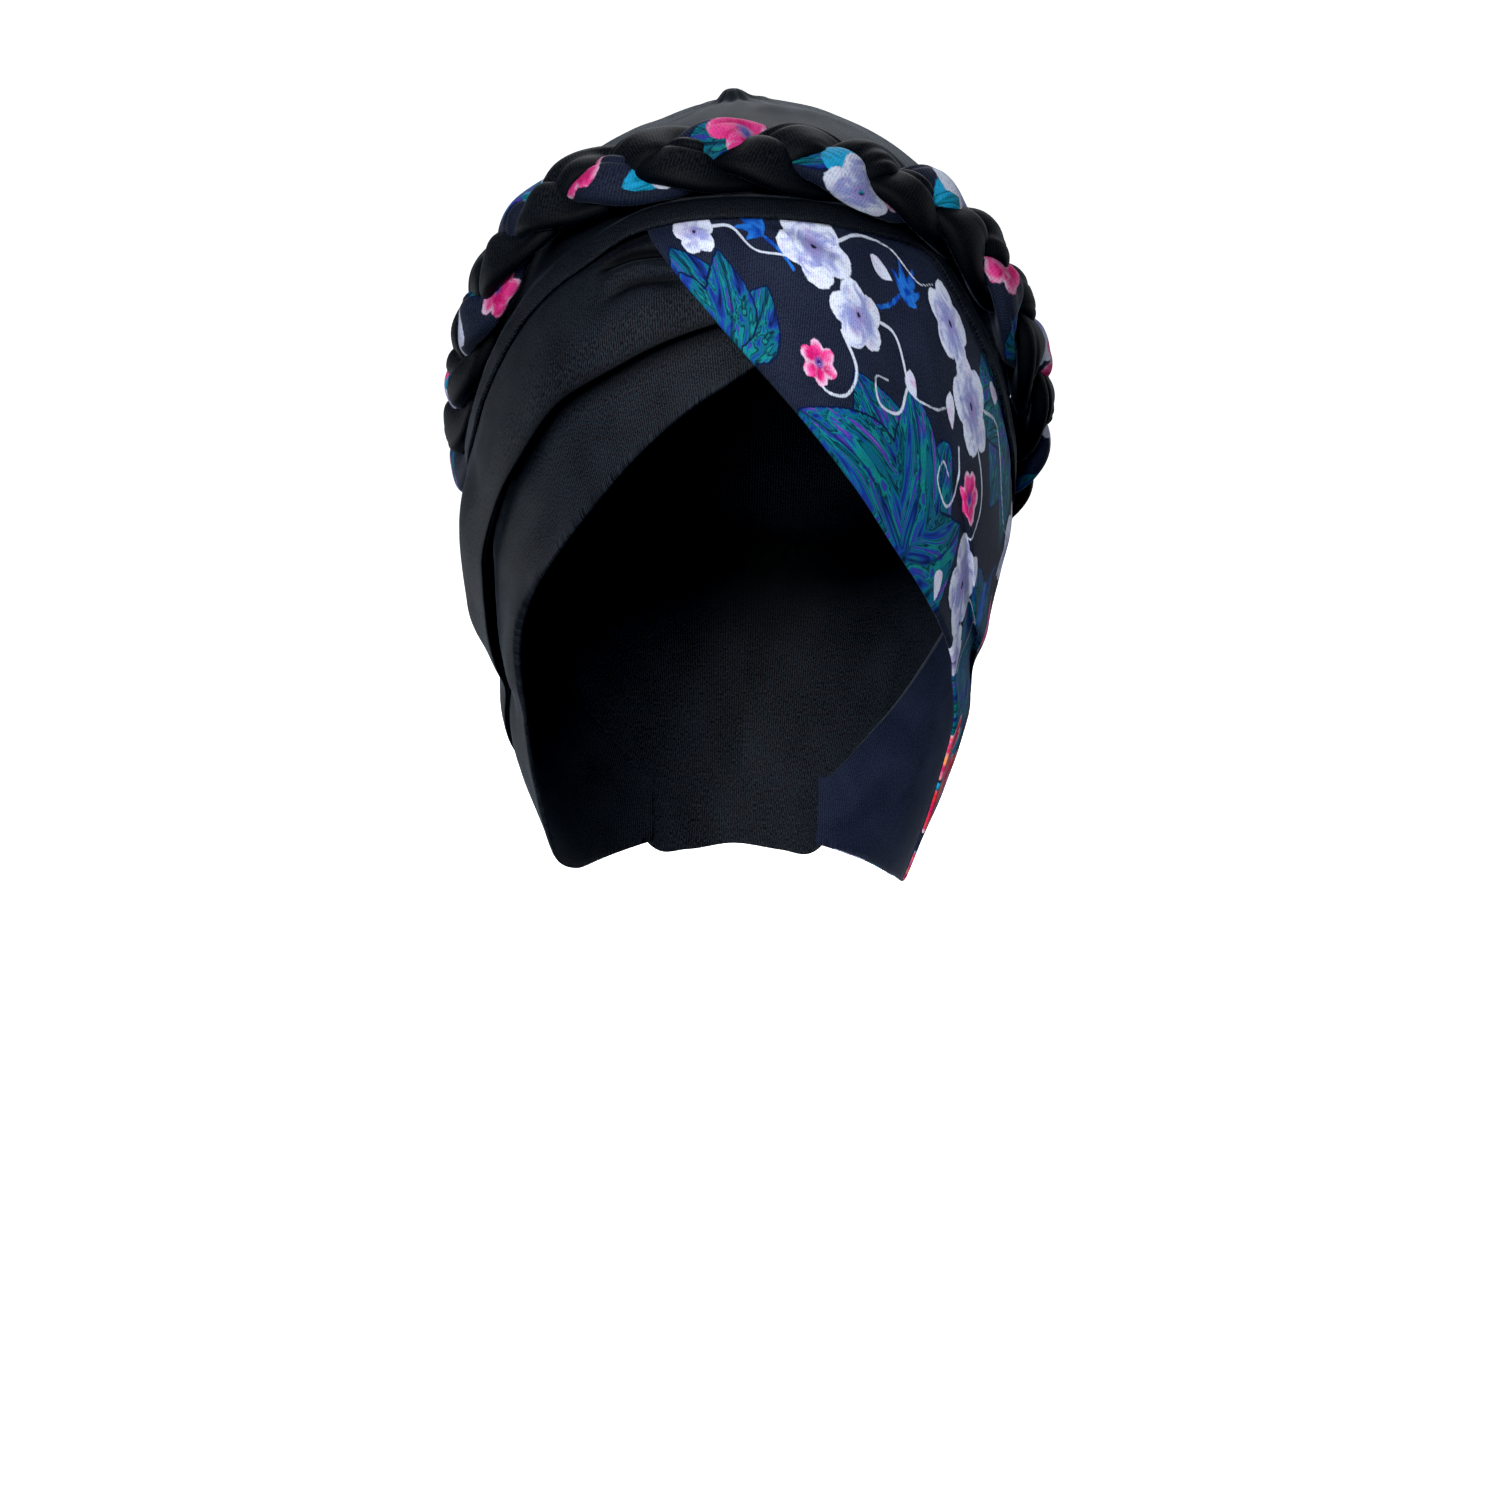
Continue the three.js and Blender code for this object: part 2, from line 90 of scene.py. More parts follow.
def standOff(turn, drop):  # sinks at the top and by the plait, flares at the tails, is pinched on the right
    top = sink["top"] * (1 - ease(drop, *sink["topSpan"]))
    ring = ease(np.abs(turn), *sink["ringTurn"]) * ease(drop, *sink["ringNear"])
    ring = ring * (1 - ease(drop, *sink["ringFar"]))
    settle = (sink["depth"] - sink["lean"] * np.sin(np.radians(turn))) * ring
    across = (turn - sink["pinchTurn"]) / sink["pinchWide"]
    down = (drop - sink["pinchDrop"]) / sink["pinchTall"]
    pinch = sink["pinch"] * np.exp(-across ** 2 - down ** 2)
    below = drop - plaitDrop(np.abs(turn))
    press = pressDepth(turn) * (1 - ease(-below, *sink["pressAbove"]))
    press = press * (1 - ease(below, *sink["pressBelow"]))
    return sink["flare"] * ease(drop, *sink["flareSpan"]) - top - settle - pinch - press


def onHollow(turn, drop, lift):  # a ray from the middle, cut by a rounded shell, then lifted along itself
    lift = lift + standOff(turn, drop)
    t, d = np.radians(turn), np.radians(drop)
    way = np.stack(np.broadcast_arrays(np.sin(d) * np.sin(t), -np.sin(d) * np.cos(t), np.cos(d)), axis=-1)
    depth = np.where(way[..., 1] < 0, hollow["frontDepth"], hollow["backDepth"])
    height = np.where(way[..., 2] > 0, hollow["upHeight"], hollow["downHeight"])
    power = np.where(way[..., 2] > 0, hollow["upPower"], hollow["downPower"])
    plan = np.abs(way[..., 0] / hollow["halfWidth"]) ** hollow["planPower"]
    plan = plan + np.abs(way[..., 1] / depth) ** hollow["planPower"]
    size = (plan ** (power / hollow["planPower"]) + np.abs(way[..., 2] / height) ** power) ** (-1 / power)
    return way * (size + lift)[..., None] + np.array([0, 0, -hollow["upHeight"]])


def outward(turn, drop, step=0.5):  # unit cross product of the two surface directions, by small steps
    turned = onHollow(turn + step, drop, 0) - onHollow(turn - step, drop, 0)
    dropped = onHollow(turn, drop + step, 0) - onHollow(turn, drop - step, 0)
    return unit(np.cross(dropped, turned))


def unit(vectors):  # each vector divided by its length
    return vectors / np.linalg.norm(vectors, axis=-1, keepdims=True)


def waves(points, length, seed, count=7, spread=(0.7, 1.5)):  # sum of seeded plane waves, about -1 to 1
    draw = np.random.default_rng(seed)
    total = np.zeros(points.shape[:-1])
    for _ in range(count):
        way = unit(draw.normal(size=3)) * 2 * np.pi / (length * draw.uniform(*spread))
        total += np.sin(points @ way + draw.uniform(0, 2 * np.pi))
    return total / np.sqrt(count)


def softness(points, rows):  # waves of several lengths added: height, length and seed of each
    return sum(height * waves(points, length, seed) for height, length, seed in rows)


def smoothLine(places, count):  # points along a cubic through a few places
    places = np.array(places, float)
    keys = np.arange(len(places))
    at = np.linspace(0, len(places) - 1, count)
    return np.stack([catmull(keys, places[:, k], at) for k in range(places.shape[1])], axis=-1)


def catmull(keys, values, at):  # cubic through even rows, end slopes from the end pairs
    slope = np.gradient(values)
    i = np.clip(at.astype(int), 0, len(keys) - 2)
    f = at - i
    start = values[i] * (1 + 2 * f) * (1 - f) ** 2 + slope[i] * f * (1 - f) ** 2
    return start + values[i + 1] * f * f * (3 - 2 * f) + slope[i + 1] * f * f * (f - 1)


def nearLine(points, line):  # nearest place on a polyline: distance, share along it, and offset vector
    best = np.full(points.shape[:-1], np.inf)
    along = np.zeros(points.shape[:-1])
    offset = np.zeros(points.shape)
    for k in range(len(line) - 1):
        run = line[k + 1] - line[k]
        part = np.clip((points - line[k]) @ run / (run @ run), 0, 1)
        apart = points - line[k] - part[..., None] * run
        gap = np.linalg.norm(apart, axis=-1)
        near = gap < best
        best = np.where(near, gap, best)
        along = np.where(near, (k + part) / (len(line) - 1), along)
        offset = np.where(near[..., None], apart, offset)
    return best, along, offset


def foldRise(folds, turn, drop, steps=33):  # a bell across each fold's line, two widths, faded ends
    spot = onHollow(turn, drop, 0)
    height = np.zeros(turn.shape)
    for turns, drops, rise, above, below, fade in folds:
        places = smoothLine(np.stack([turns, drops], axis=-1), steps)
        line = onHollow(places[:, 0], places[:, 1], 0)
        gap, along, offset = nearLine(spot, line)
        reach = np.where(offset[..., 2] > 0, above, below)
        ends = ease(along, 0, fade) * ease(1 - along, 0, fade)
        height = height + rise * ends * np.exp(-(gap / reach) ** 2)
    return height


def gridPiece(name, points, flat, wrapRows=False, attributes=None):  # quads over a grid, its columns closed
    rows, columns = points.shape[:2]
    index = np.arange(rows * columns).reshape(rows, columns)
    corner = np.arange(flat.shape[0] * flat.shape[1]).reshape(flat.shape[:2])
    index = np.concatenate([index, index[:, :1]], axis=1)
    if wrapRows:
        index = np.concatenate([index, index[:1]], axis=0)
    quads = np.stack([index[s] for s in cornerSlices], axis=-1).reshape(-1, 4)
    quadFlat = np.stack([corner[s] for s in cornerSlices], axis=-1).reshape(-1, 4)
    faces = quads.tolist()
    if not wrapRows:
        faces.append(index[0, :-1][::-1].tolist())
        faces.append(index[-1, :-1].tolist())
        quadFlat = np.concatenate([quadFlat.ravel(), corner[0, :-1][::-1], corner[-1, :-1]])
    mesh = bpy.data.meshes.new(name)
    mesh.from_pydata(points.reshape(-1, 3) * mm, [], faces)
    mesh.polygons.foreach_set("use_smooth", np.ones(len(mesh.polygons), dtype=bool))
    layer = mesh.uv_layers.new(name="cloth")
    layer.data.foreach_set("uv", (flat.reshape(-1, 2)[quadFlat.ravel()] * mm).ravel().astype(np.float32))
    for key, values in (attributes or {}).items():
        store = mesh.attributes.new(key, "FLOAT", "POINT")
        store.data.foreach_set("value", values.ravel().astype(np.float32))
    mesh.update()
    piece = bpy.data.objects.new(name, mesh)
    bpy.context.scene.collection.objects.link(piece)
    return piece


first, second = slice(None, -1), slice(1, None)
cornerSlices = [(first, first), (first, second), (second, second), (second, first)]


# Shader values: a wrapped socket with operators, and one method for every other node
class Sock:
    def __init__(self, tree, socket=None):
        self.tree = tree
        self.socket = socket

    def node(self, kind, settings=None, inputs=None, out=0):
        made = self.tree.nodes.new(kind)
        for key, value in (settings or {}).items():
            if key == "stops":
                while len(made.color_ramp.elements) < len(value):
                    made.color_ramp.elements.new(0.5)
                for element, (place, colour) in zip(made.color_ramp.elements, value):
                    element.position = place
                    element.color = (*colour, 1)
            else:
                setattr(made, key, value)
        for key, value in (inputs or {}).items():
            if isinstance(value, Sock):
                self.tree.links.new(value.socket, made.inputs[key])
            else:
                made.inputs[key].default_value = value
        return Sock(self.tree, made.outputs[out])

    def calc(self, operation, *values):
        return self.node("ShaderNodeMath", {"operation": operation}, dict(enumerate(values)))

    def __add__(self, other):
        return self.calc("ADD", self, other)

    def __radd__(self, other):
        return self.calc("ADD", other, self)

    def __sub__(self, other):
        return self.calc("SUBTRACT", self, other)

    def __rsub__(self, other):
        return self.calc("SUBTRACT", other, self)

    def __mul__(self, other):
        return self.calc("MULTIPLY", self, other)

    def __rmul__(self, other):
        return self.calc("MULTIPLY", other, self)

    def mask(self, low, high):  # 0 at low, 1 at high, clamped and smooth
        settings = {"interpolation_type": "SMOOTHSTEP"}
        return self.node("ShaderNodeMapRange", settings, {"Value": self, "From Min": low, "From Max": high})

    def mix(self, a, b):  # colour a where this is 0, colour b where it is 1
        def full(c):
            return c if isinstance(c, Sock) else (*c, 1)
        return self.node("ShaderNodeMix", {"data_type": "RGBA"}, {0: self, 6: full(a), 7: full(b)}, out=2)


def tone(red, green, blue):  # screen colour, 0 to 255, as light
    c = np.array([red, green, blue]) / 255
    return tuple(np.where(c <= 0.04045, c / 12.92, ((c + 0.055) / 1.055) ** 2.4))


def newMaterial(name):  # an empty tree with one shader on its output
    material = bpy.data.materials.new(name)
    material.use_nodes = True
    tree = material.node_tree
    tree.nodes.clear()
    output = tree.nodes.new("ShaderNodeOutputMaterial")
    shader = tree.nodes.new("ShaderNodeBsdfPrincipled")
    tree.links.new(shader.outputs[0], output.inputs[0])
    return material, Sock(tree), shader


jersey = dict(ribPitch=0.74, ribShare=0.12, grainAcross=0.40, grainAlong=0.54, grainDetail=1.0,
              height=0.12)


def knit(s):  # height of the knit: small noise cells, longer along the ribs, on a faint sine of ribs
    flat = s.node("ShaderNodeUVMap", {"uv_map": "cloth"})
    along = s.node("ShaderNodeSeparateXYZ", None, {0: flat}) * (2 * np.pi / (jersey["ribPitch"] * mm))
    scale = (1 / (jersey["grainAcross"] * mm), 1 / (jersey["grainAlong"] * mm), 1)
    drawn = s.node("ShaderNodeMapping", None, {"Vector": flat, "Scale": scale})
    grain = s.node("ShaderNodeTexNoise", None, {"Vector": drawn, "Scale": 1.0,
                                                "Detail": jersey["grainDetail"]})
    return flat, along.calc("SINE", along) * jersey["ribShare"] + grain


def shadeOf(s):  # painted shade, 0 to 1: folds, creases, under the rim, beside the plait, and the strands' sides, edges and tucked parts
    return s.node("ShaderNodeAttribute", {"attribute_name": "shade"}, None, out=2)


def jerseyShader(s, shader, colour, height, look):  # matt cloth with a soft sheen and the knit as bump
    s.tree.links.new(colour.socket, shader.inputs["Base Color"])
    bump = s.node("ShaderNodeBump", None, {"Strength": look["bump"], "Distance": jersey["height"] * mm,
                                           "Height": height})
    s.tree.links.new(bump.socket, shader.inputs["Normal"])
    shader.inputs["Roughness"].default_value = look["roughness"]
    shader.inputs["Specular IOR Level"].default_value = look["specular"]
    shader.inputs["Sheen Weight"].default_value = look["sheen"]
    shader.inputs["Sheen Roughness"].default_value = look["sheenRoughness"]
    shader.inputs["Sheen Tint"].default_value = (*look["sheenTint"], 1)


# deep is the colour of the knit's gaps and of the painted shade
blackLook = dict(deep=tone(3, 4, 6), light=tone(32, 37, 44), knitShare=0.8, cloudShare=0.2,
                 cloudScale=60.0, cloudDetail=3.0, litSpan=(0.36, 0.64), bump=0.8, roughness=0.62,
                 specular=0.05, sheen=0.08, sheenRoughness=0.26, sheenTint=tone(184, 206, 234))


def blackJersey():  # lighter on the grain's tops and darker in its gaps, partly grain tone and partly painted shade, and painted shade in the folds
    p = blackLook
    material, s, shader = newMaterial("black_jersey")
    flat, height = knit(s)
    cloud = s.node("ShaderNodeTexNoise", None, {"Vector": flat, "Scale": p["cloudScale"],
                                                "Detail": p["cloudDetail"]})
    # painted shade: the colour goes towards deep where the shade attribute is high
    lit = (height * p["knitShare"] + cloud * p["cloudShare"]).mask(*p["litSpan"]) * (1 - shadeOf(s))
    jerseyShader(s, shader, lit.mix(p["deep"], p["light"]), height, p)
    return material


# deep is the colour of the painted shade in folds, and foldShare is its strength
printLook = dict(deep=tone(4, 5, 10), ground=tone(14, 18, 32), groundLight=tone(36, 43, 62),
                 bud=tone(198, 208, 228), vine=tone(196, 204, 222),
                 bloom=tone(206, 214, 234), bloomShade=tone(134, 142, 196), bloomBlush=tone(196, 166, 204),
                 heart=tone(136, 128, 188), magenta=tone(190, 16, 100), pink=tone(226, 62, 142),
                 ember=tone(222, 52, 36), gold=tone(240, 150, 60),
                 teal=tone(8, 100, 114), jade=tone(16, 128, 122), blue=tone(24, 54, 142),
                 violet=tone(84, 52, 150), lilac=tone(134, 112, 188), leafDark=tone(8, 22, 58),
                 cobalt=tone(14, 56, 150), cobaltLight=tone(34, 108, 196), cyan=tone(30, 156, 206),
                 knitShare=0.7, cloudShare=0.3, litSpan=(0.32, 0.72), gapSpan=(0.5, 0.25), gapShare=0.4,
                 foldShare=0.8, bump=0.7, roughness=0.66, specular=0.05, sheen=0.08, sheenRoughness=0.34,
                 sheenTint=tone(200, 210, 230))
printNoise = dict(cloud=(70.0, 0.4), wash=(130.0, 1.8), blot=(210.0, 1.0), brush=(520.0, 0.6))  # scale, swirl
# Spans of a mask are its 0 end and its 1 end, and rough is how far the brush moves an edge
leafPaint = dict(marble=(0.034, 0.14, 2.4), spineSpan=(0.75, 0.15), spineShare=0.7, rough=1.3,
                 bodyRough=1.6, bodySpan=(-0.5, -0.9), blade=(0.06, 0.4, 1.2), bladeSpan=(0.4, 0.6))
sprayPaint = dict(sprigRough=1.4, sprigSpan=(0.35, 0.65), vineRough=0.35, vineSoft=0.18,
                  budRough=0.7, budSpan=(0.4, 0.75))
petalPaint = dict(seamSpan=(0.78, 1.0), seamShare=0.8, wash=2.2, bodySpan=(0.2, 0.9),
                  blushSpan=(0.5, 0.72), blushShare=0.45, rimSpan=(-1.4, -0.2), rimBlot=(0.35, 0.6),
                  rimShare=0.6, heartSpan=(0.36, 0.08), rough=1.2)


def printJersey():  # ground, leaves, sprigs, blades, vines, buds and blooms laid over each other in turn, then painted shade in the knit's gaps and in the folds
    p, leaf, spray, bloom = printLook, leafPaint, sprayPaint, petalPaint
    material, s, shader = newMaterial("print_jersey")
    flat, height = knit(s)

    def field(key):
        return s.node("ShaderNodeAttribute", {"attribute_name": key}, None, out=2)

    def noise(place, scale, distortion):
        return s.node("ShaderNodeTexNoise", None, {"Vector": place, "Scale": scale, "Detail": 3.0,
                                                   "Distortion": distortion})

    def streaks(key, along, across, distortion):  # noise drawn out along a motif
        parts = {0: field(key + "Out") * along, 1: field(key + "Side") * across}
        return noise(s.node("ShaderNodeCombineXYZ", None, parts), 1.0, distortion)

    cloud, wash, blot, brush = (noise(flat, *printNoise[key]) for key in ("cloud", "wash", "blot", "brush"))

    def inside(key, rough=1.0, soft=0.22):  # a motif's distance, roughened like a brushed edge
        return (field(key) + (brush - 0.5) * rough).mask(soft, -soft)

    # the ground is lighter on the knit's tops and darker in its gaps: partly grain tone, partly painted shade
    lit = (height * p["knitShare"] + cloud * p["cloudShare"]).mask(*p["litSpan"])
    colour = lit.mix(p["ground"], p["groundLight"])
    stops = [(0.30, p["leafDark"]), (0.40, p["blue"]), (0.46, p["teal"]), (0.51, p["leafDark"]),
             (0.55, p["jade"]), (0.60, p["blue"]), (0.66, p["violet"]), (0.74, p["lilac"])]
    for key in ("leaf", "frond"):
        marble = s.node("ShaderNodeValToRGB", {"stops": stops}, {0: streaks(key, *leaf["marble"])})
        spine = field(key + "Side")
        spine = spine.calc("ABSOLUTE", spine).mask(*leaf["spineSpan"]) * leaf["spineShare"]
        colour = inside(key, leaf["rough"]).mix(colour, p["leafDark"])
        veined = spine.mix(marble, p["leafDark"])
        body = (field(key) + (brush - 0.5) * leaf["bodyRough"]).mask(*leaf["bodySpan"])
        colour = body.mix(colour, veined)
    sprig = blot.mask(*spray["sprigSpan"]).mix(p["cobalt"], p["cobaltLight"])
    colour = inside("sprig", spray["sprigRough"]).mix(colour, sprig)
    blade = streaks("cyan", *leaf["blade"]).mask(*leaf["bladeSpan"]).mix(p["cyan"], p["teal"])
    colour = inside("cyan").mix(colour, blade)
    colour = inside("vine", spray["vineRough"], spray["vineSoft"]).mix(colour, p["vine"])
    bud = blot.mask(*spray["budSpan"]).mix(p["bud"], p["bloomBlush"])
    colour = inside("bud", spray["budRough"]).mix(colour, bud)
    looks = {"bloom": ("bloom", "bloomShade", "heart"), "star": ("pink", "magenta", "violet"),
             "ember": ("ember", "magenta", "gold")}
    for key, (light, shade, heart) in looks.items():
        seam = field(key + "Side")
        seam = seam.calc("ABSOLUTE", seam).mask(*bloom["seamSpan"]) * bloom["seamShare"]
        body = (field(key + "Out") + (wash - 0.5) * bloom["wash"]).mask(*bloom["bodySpan"])
        petal = body.mix(p[shade], p[light])
        petal = (blot.mask(*bloom["blushSpan"]) * bloom["blushShare"]).mix(petal, p["bloomBlush"])
        petal = seam.mix(petal, p[shade])
        rim = field(key).mask(*bloom["rimSpan"]) * blot.mask(*bloom["rimBlot"]) * bloom["rimShare"]
        petal = rim.mix(petal, p["bloom"])
        petal = field(key + "Out").mask(*bloom["heartSpan"]).mix(petal, p[heart])
        colour = inside(key, bloom["rough"]).mix(colour, petal)
    # the knit's gaps darkened towards the ground: partly grain tone, partly painted shade
    colour = (height.mask(*p["gapSpan"]) * p["gapShare"]).mix(colour, p["ground"])
    # painted shade: the print goes towards deep where the shade attribute is high
    colour = (shadeOf(s) * p["foldShare"]).mix(colour, p["deep"])
    jerseyShader(s, shader, colour, height, p)
    return material


# Floral print: motifs as signed distances on the flat cloth, in millimetres
# Petal and leaf lengths are shares of the motif's size, a petal's width also over the count of petals,
# and a sprig's stalk is in millimetres, its blades shorter as they lean, down to nothing at vanishLean
petalShape = dict(middle=0.54, halfLength=0.47, halfWidth=2.25)
leafShape = dict(bow=0.10, footPower=0.8, fullness=0.85)
sprigShape = dict(leans=(-62, -30, 0, 30, 62), vanishLean=140, slim=0.14, bend=0.02, halfStalk=0.6,
                  overlap=1)
petalCounts = dict(bloom=5, star=6, ember=6)
leafWidths = dict(leaf=0.33, frond=0.30, cyan=0.22, bud=0.3)
farAway = 50.0  # distance where no motif is near
marbleShift, vineTaper = 3.1, 0.5  # moves the marbling from leaf to leaf, and thins a vine to its end


def bloomField(x, y, size, count):  # rounded petals round a heart, one oval folded into every sector
    angle = np.arctan2(y, x)
    sector = 2 * np.pi / count
    folded = (angle + sector / 2) % sector - sector / 2
    out, side = np.hypot(x, y) * np.cos(folded), np.hypot(x, y) * np.sin(folded)
    long, wide = petalShape["halfLength"] * size, petalShape["halfWidth"] * size / count
    gap = (np.hypot((out - petalShape["middle"] * size) / long, side / wide) - 1) * min(long, wide)
    return gap, np.hypot(x, y) / size, 2 * folded / sector


def leafField(x, y, size, slim):  # two bowed edges that meet at both tips
    share = np.clip(x / size, 0, 1)
    bent = y - leafShape["bow"] * size * np.sin(np.pi * share)
    half = slim * size * np.sin(np.pi * share ** leafShape["footPower"]) ** leafShape["fullness"]
    return np.maximum(np.abs(bent) - half, np.maximum(-x, x - size)), x, bent


def sprigField(x, y, size):  # slim blades spread from a bent stalk, shorter to the sides
    p = sprigShape
    stalk = np.abs(y + p["bend"] * x * x) - p["halfStalk"]
    gap = np.maximum(stalk, np.maximum(x - p["overlap"], -x - size))
    for lean in p["leans"]:
        a, b = np.cos(np.radians(lean)), np.sin(np.radians(lean))
        length = size * (1 - abs(lean) / p["vanishLean"])
        gap = np.minimum(gap, leafField(x * a + y * b, y * a - x * b, length, p["slim"])[0])
    return gap, x, y


def printFields(flat, shown, motifs, vines, repeat=None, steps=40):  # nearest motif of each kind, where shown
    if not motifs:
        return {}
    x, y = flat[..., 0], flat[..., 1]
    fields = {"vine": np.full(x.shape, farAway)}
    for key in [*petalCounts, *leafWidths, "sprig"]:
        fields[key] = np.full(x.shape, farAway)
        fields[key + "Out"] = np.zeros(x.shape)
        fields[key + "Side"] = np.zeros(x.shape)
    for kind, placeX, placeY, size, turn in motifs:
        awayX, awayY = x - placeX, y - placeY
        if repeat:
            awayX = (awayX + repeat[0] / 2) % repeat[0] - repeat[0] / 2
            awayY = (awayY + repeat[1] / 2) % repeat[1] - repeat[1] / 2
        c, n = np.cos(np.radians(turn)), np.sin(np.radians(turn))
        u, v = awayX * c + awayY * n, awayY * c - awayX * n
        if kind in petalCounts:
            gap, out, side = bloomField(u, v, size, petalCounts[kind])
        elif kind in leafWidths:
            gap, out, side = leafField(u, v, size, leafWidths[kind])
            out = out + marbleShift * placeX
        else:
            gap, out, side = sprigField(u, v, size)
        near = gap < fields[kind]
        for key, value in ((kind, gap), (kind + "Out", out), (kind + "Side", side)):
            fields[key] = np.where(near, value, fields[key])
    for half, places in vines:
        gap, along, _ = nearLine(flat, smoothLine(places, steps))
        fields["vine"] = np.minimum(fields["vine"], gap - half * (1 - vineTaper * along))
    return {key: np.where(shown, value, farAway) for key, value in fields.items()}


# Crown: a stretched dome with a small gathered top and a folded rim that lies on the panels
crown = dict(columns=420, outer=132, edge=9, inner=28, tip=0.004, evenTurn=0.62, frontTurn=0.38,
             gather=0.10, gatherTwice=0.025, hemRoll=0.5, hemRise=0.2, hemWide=2.0,
             turn=[0, 20, 35, 43, 50, 58, 68, 84, 110, 135, 147, 155, 166, 180],
             blackSide=[48.1, 50.2, 57.0, 61.8, 67.7, 76.3, 88.0,
                        100.5, 122.0, 144.0, 151.6, 155.6, 155.5, 154.8],
             printSide=[48.1, 49.3, 50.9, 53.6, 62.3, 72.9, 85.0,
                        102.0, 123.0, 144.0, 151.6, 155.6, 155.5, 154.8],
             lapSpan=(0.88, 0.945), rimLength=1.6, plaitLength=1.7, flatTurn=1.45, flatDrop=1.75,
             nubTurn=-33, nubDrop=5.6, nubRise=3.6, nubSize=4.4, nubLeft=1.25, nubRight=0.8,
             spurRise=1.2, spurPlace=9.5, spurWide=3.4, spurDeep=4.5,
             pleats=11, pleatRise=0.4, pleatTwist=0.16, pleatReach=15, pleatSpan=(0.5, 6),
             soft=[(0.35, 46, 3), (0.12, 17, 4)], softSpan=(4, 14),
             # painted shade beside the plait: half width in degrees, strength, and fade in millimetres
             plaitHalf=5.0, plaitShade=1.0, plaitFade=9.5,
             folds=[([-2, 17, 45, 62, 70], [13, 14.5, 15, 18, 26], 0.8, 3.5, 5.0, 0.3)])
rimOnBlack = curveThrough(crown["turn"], crown["blackSide"])
rimOnPrint = curveThrough(crown["turn"], crown["printSide"])
overlap = dict(turnFrom=-36, turnTo=30, ease=12, slack=2.0)


def rimDrop(turn):  # drop of the crown's edge on the black side and on the printed side
    return np.where(turn < 0, rimOnBlack(np.abs(turn)), rimOnPrint(np.abs(turn)))


def overlapAt(turn):  # 1 where both panels lie on each other at the forehead
    rise = ease(turn, overlap["turnFrom"], overlap["turnFrom"] + overlap["ease"])
    return rise * (1 - ease(turn, overlap["turnTo"] - overlap["ease"], overlap["turnTo"]))


def crownPiece():  # rings from the top down the outside, round the rim, and back up the inside
    c = crown
    f = np.linspace(-1, 1, c["columns"], endpoint=False)
    turn = 180 * (c["evenTurn"] * f + c["frontTurn"] * f ** 3)  # closest in front
    down = np.linspace(0, 1, c["outer"])
    eased = down + c["gather"] * np.sin(2 * np.pi * down)
    eased = eased - c["gatherTwice"] * np.sin(4 * np.pi * down)  # closest halfway
    outerShare = c["tip"] + (1 - c["tip"]) * eased
    roll = np.linspace(0, np.pi, c["edge"] + 2)[1:-1]
    innerShare = np.linspace(1, c["tip"], c["inner"])
    share = np.concatenate([outerShare, np.ones(c["edge"]), innerShare])
    side = np.concatenate([np.ones(c["outer"]), 0.5 + 0.5 * np.cos(roll), np.zeros(c["inner"])])
    bulge = np.concatenate([np.zeros(c["outer"]), np.sin(roll), np.zeros(c["inner"])])
    turns, shares = np.meshgrid(turn, share)
    sides = np.broadcast_to(side[:, None], turns.shape)
    rim = rimDrop(turns)
    drop = shares * rim + bulge[:, None] * c["hemRoll"]
    base = onHollow(turns, drop, 0)
    over = layers["step"] * (1 + overlapAt(turns)) * ease(shares, *c["lapSpan"])
    toRim = (rim - drop) * c["rimLength"]
    hem = c["hemRise"] * np.exp(-(toRim / c["hemWide"]) ** 2)
    middle = onHollow(np.array(c["nubTurn"]), np.array(c["nubDrop"]), 0)
    away = base - middle
    reach = np.hypot(away[..., 0], away[..., 1])
    angle = np.arctan2(away[..., 1], away[..., 0])
    sideways = away[..., 0] * np.where(away[..., 0] < 0, c["nubLeft"], c["nubRight"])
    knob = c["nubRise"] * np.exp(-((sideways ** 2 + away[..., 1] ** 2) / c["nubSize"] ** 2) ** 1.5)
    spurAcross = (away[..., 0] - c["spurPlace"]) / c["spurWide"]
    spurAlong = away[..., 1] / c["spurDeep"]
    knob = knob + c["spurRise"] * np.exp(-spurAcross ** 2 - spurAlong ** 2)
    spokes = np.cos(c["pleats"] * angle + reach * c["pleatTwist"])
    spokes = spokes * np.exp(-reach / c["pleatReach"]) * ease(reach, *c["pleatSpan"])
    rise = knob + c["pleatRise"] * spokes + foldRise(c["folds"], turns, drop)
    soft = softness(base, c["soft"]) * ease(drop, *c["softSpan"])
    lift = layers["first"] + over + sides * (layers["cloth"] + hem) + rise + soft
    points = onHollow(turns, drop, lift)
    # painted shade on the crown beside the plait, fading away from it
    beside = (np.abs(drop - plaitDrop(np.abs(turns))) - c["plaitHalf"]) * c["plaitLength"]
    shade = c["plaitShade"] * np.exp(-np.clip(beside, 0, None) / c["plaitFade"])
    flat = np.stack([turns * c["flatTurn"], drop * c["flatDrop"]], axis=-1)
    flat = np.concatenate([flat, flat[:, :1] + np.array([360 * c["flatTurn"], 0])], axis=1)
    return gridPiece("turban_crown", points[:, ::-1], flat[:, ::-1], attributes={"shade": shade[:, ::-1]})
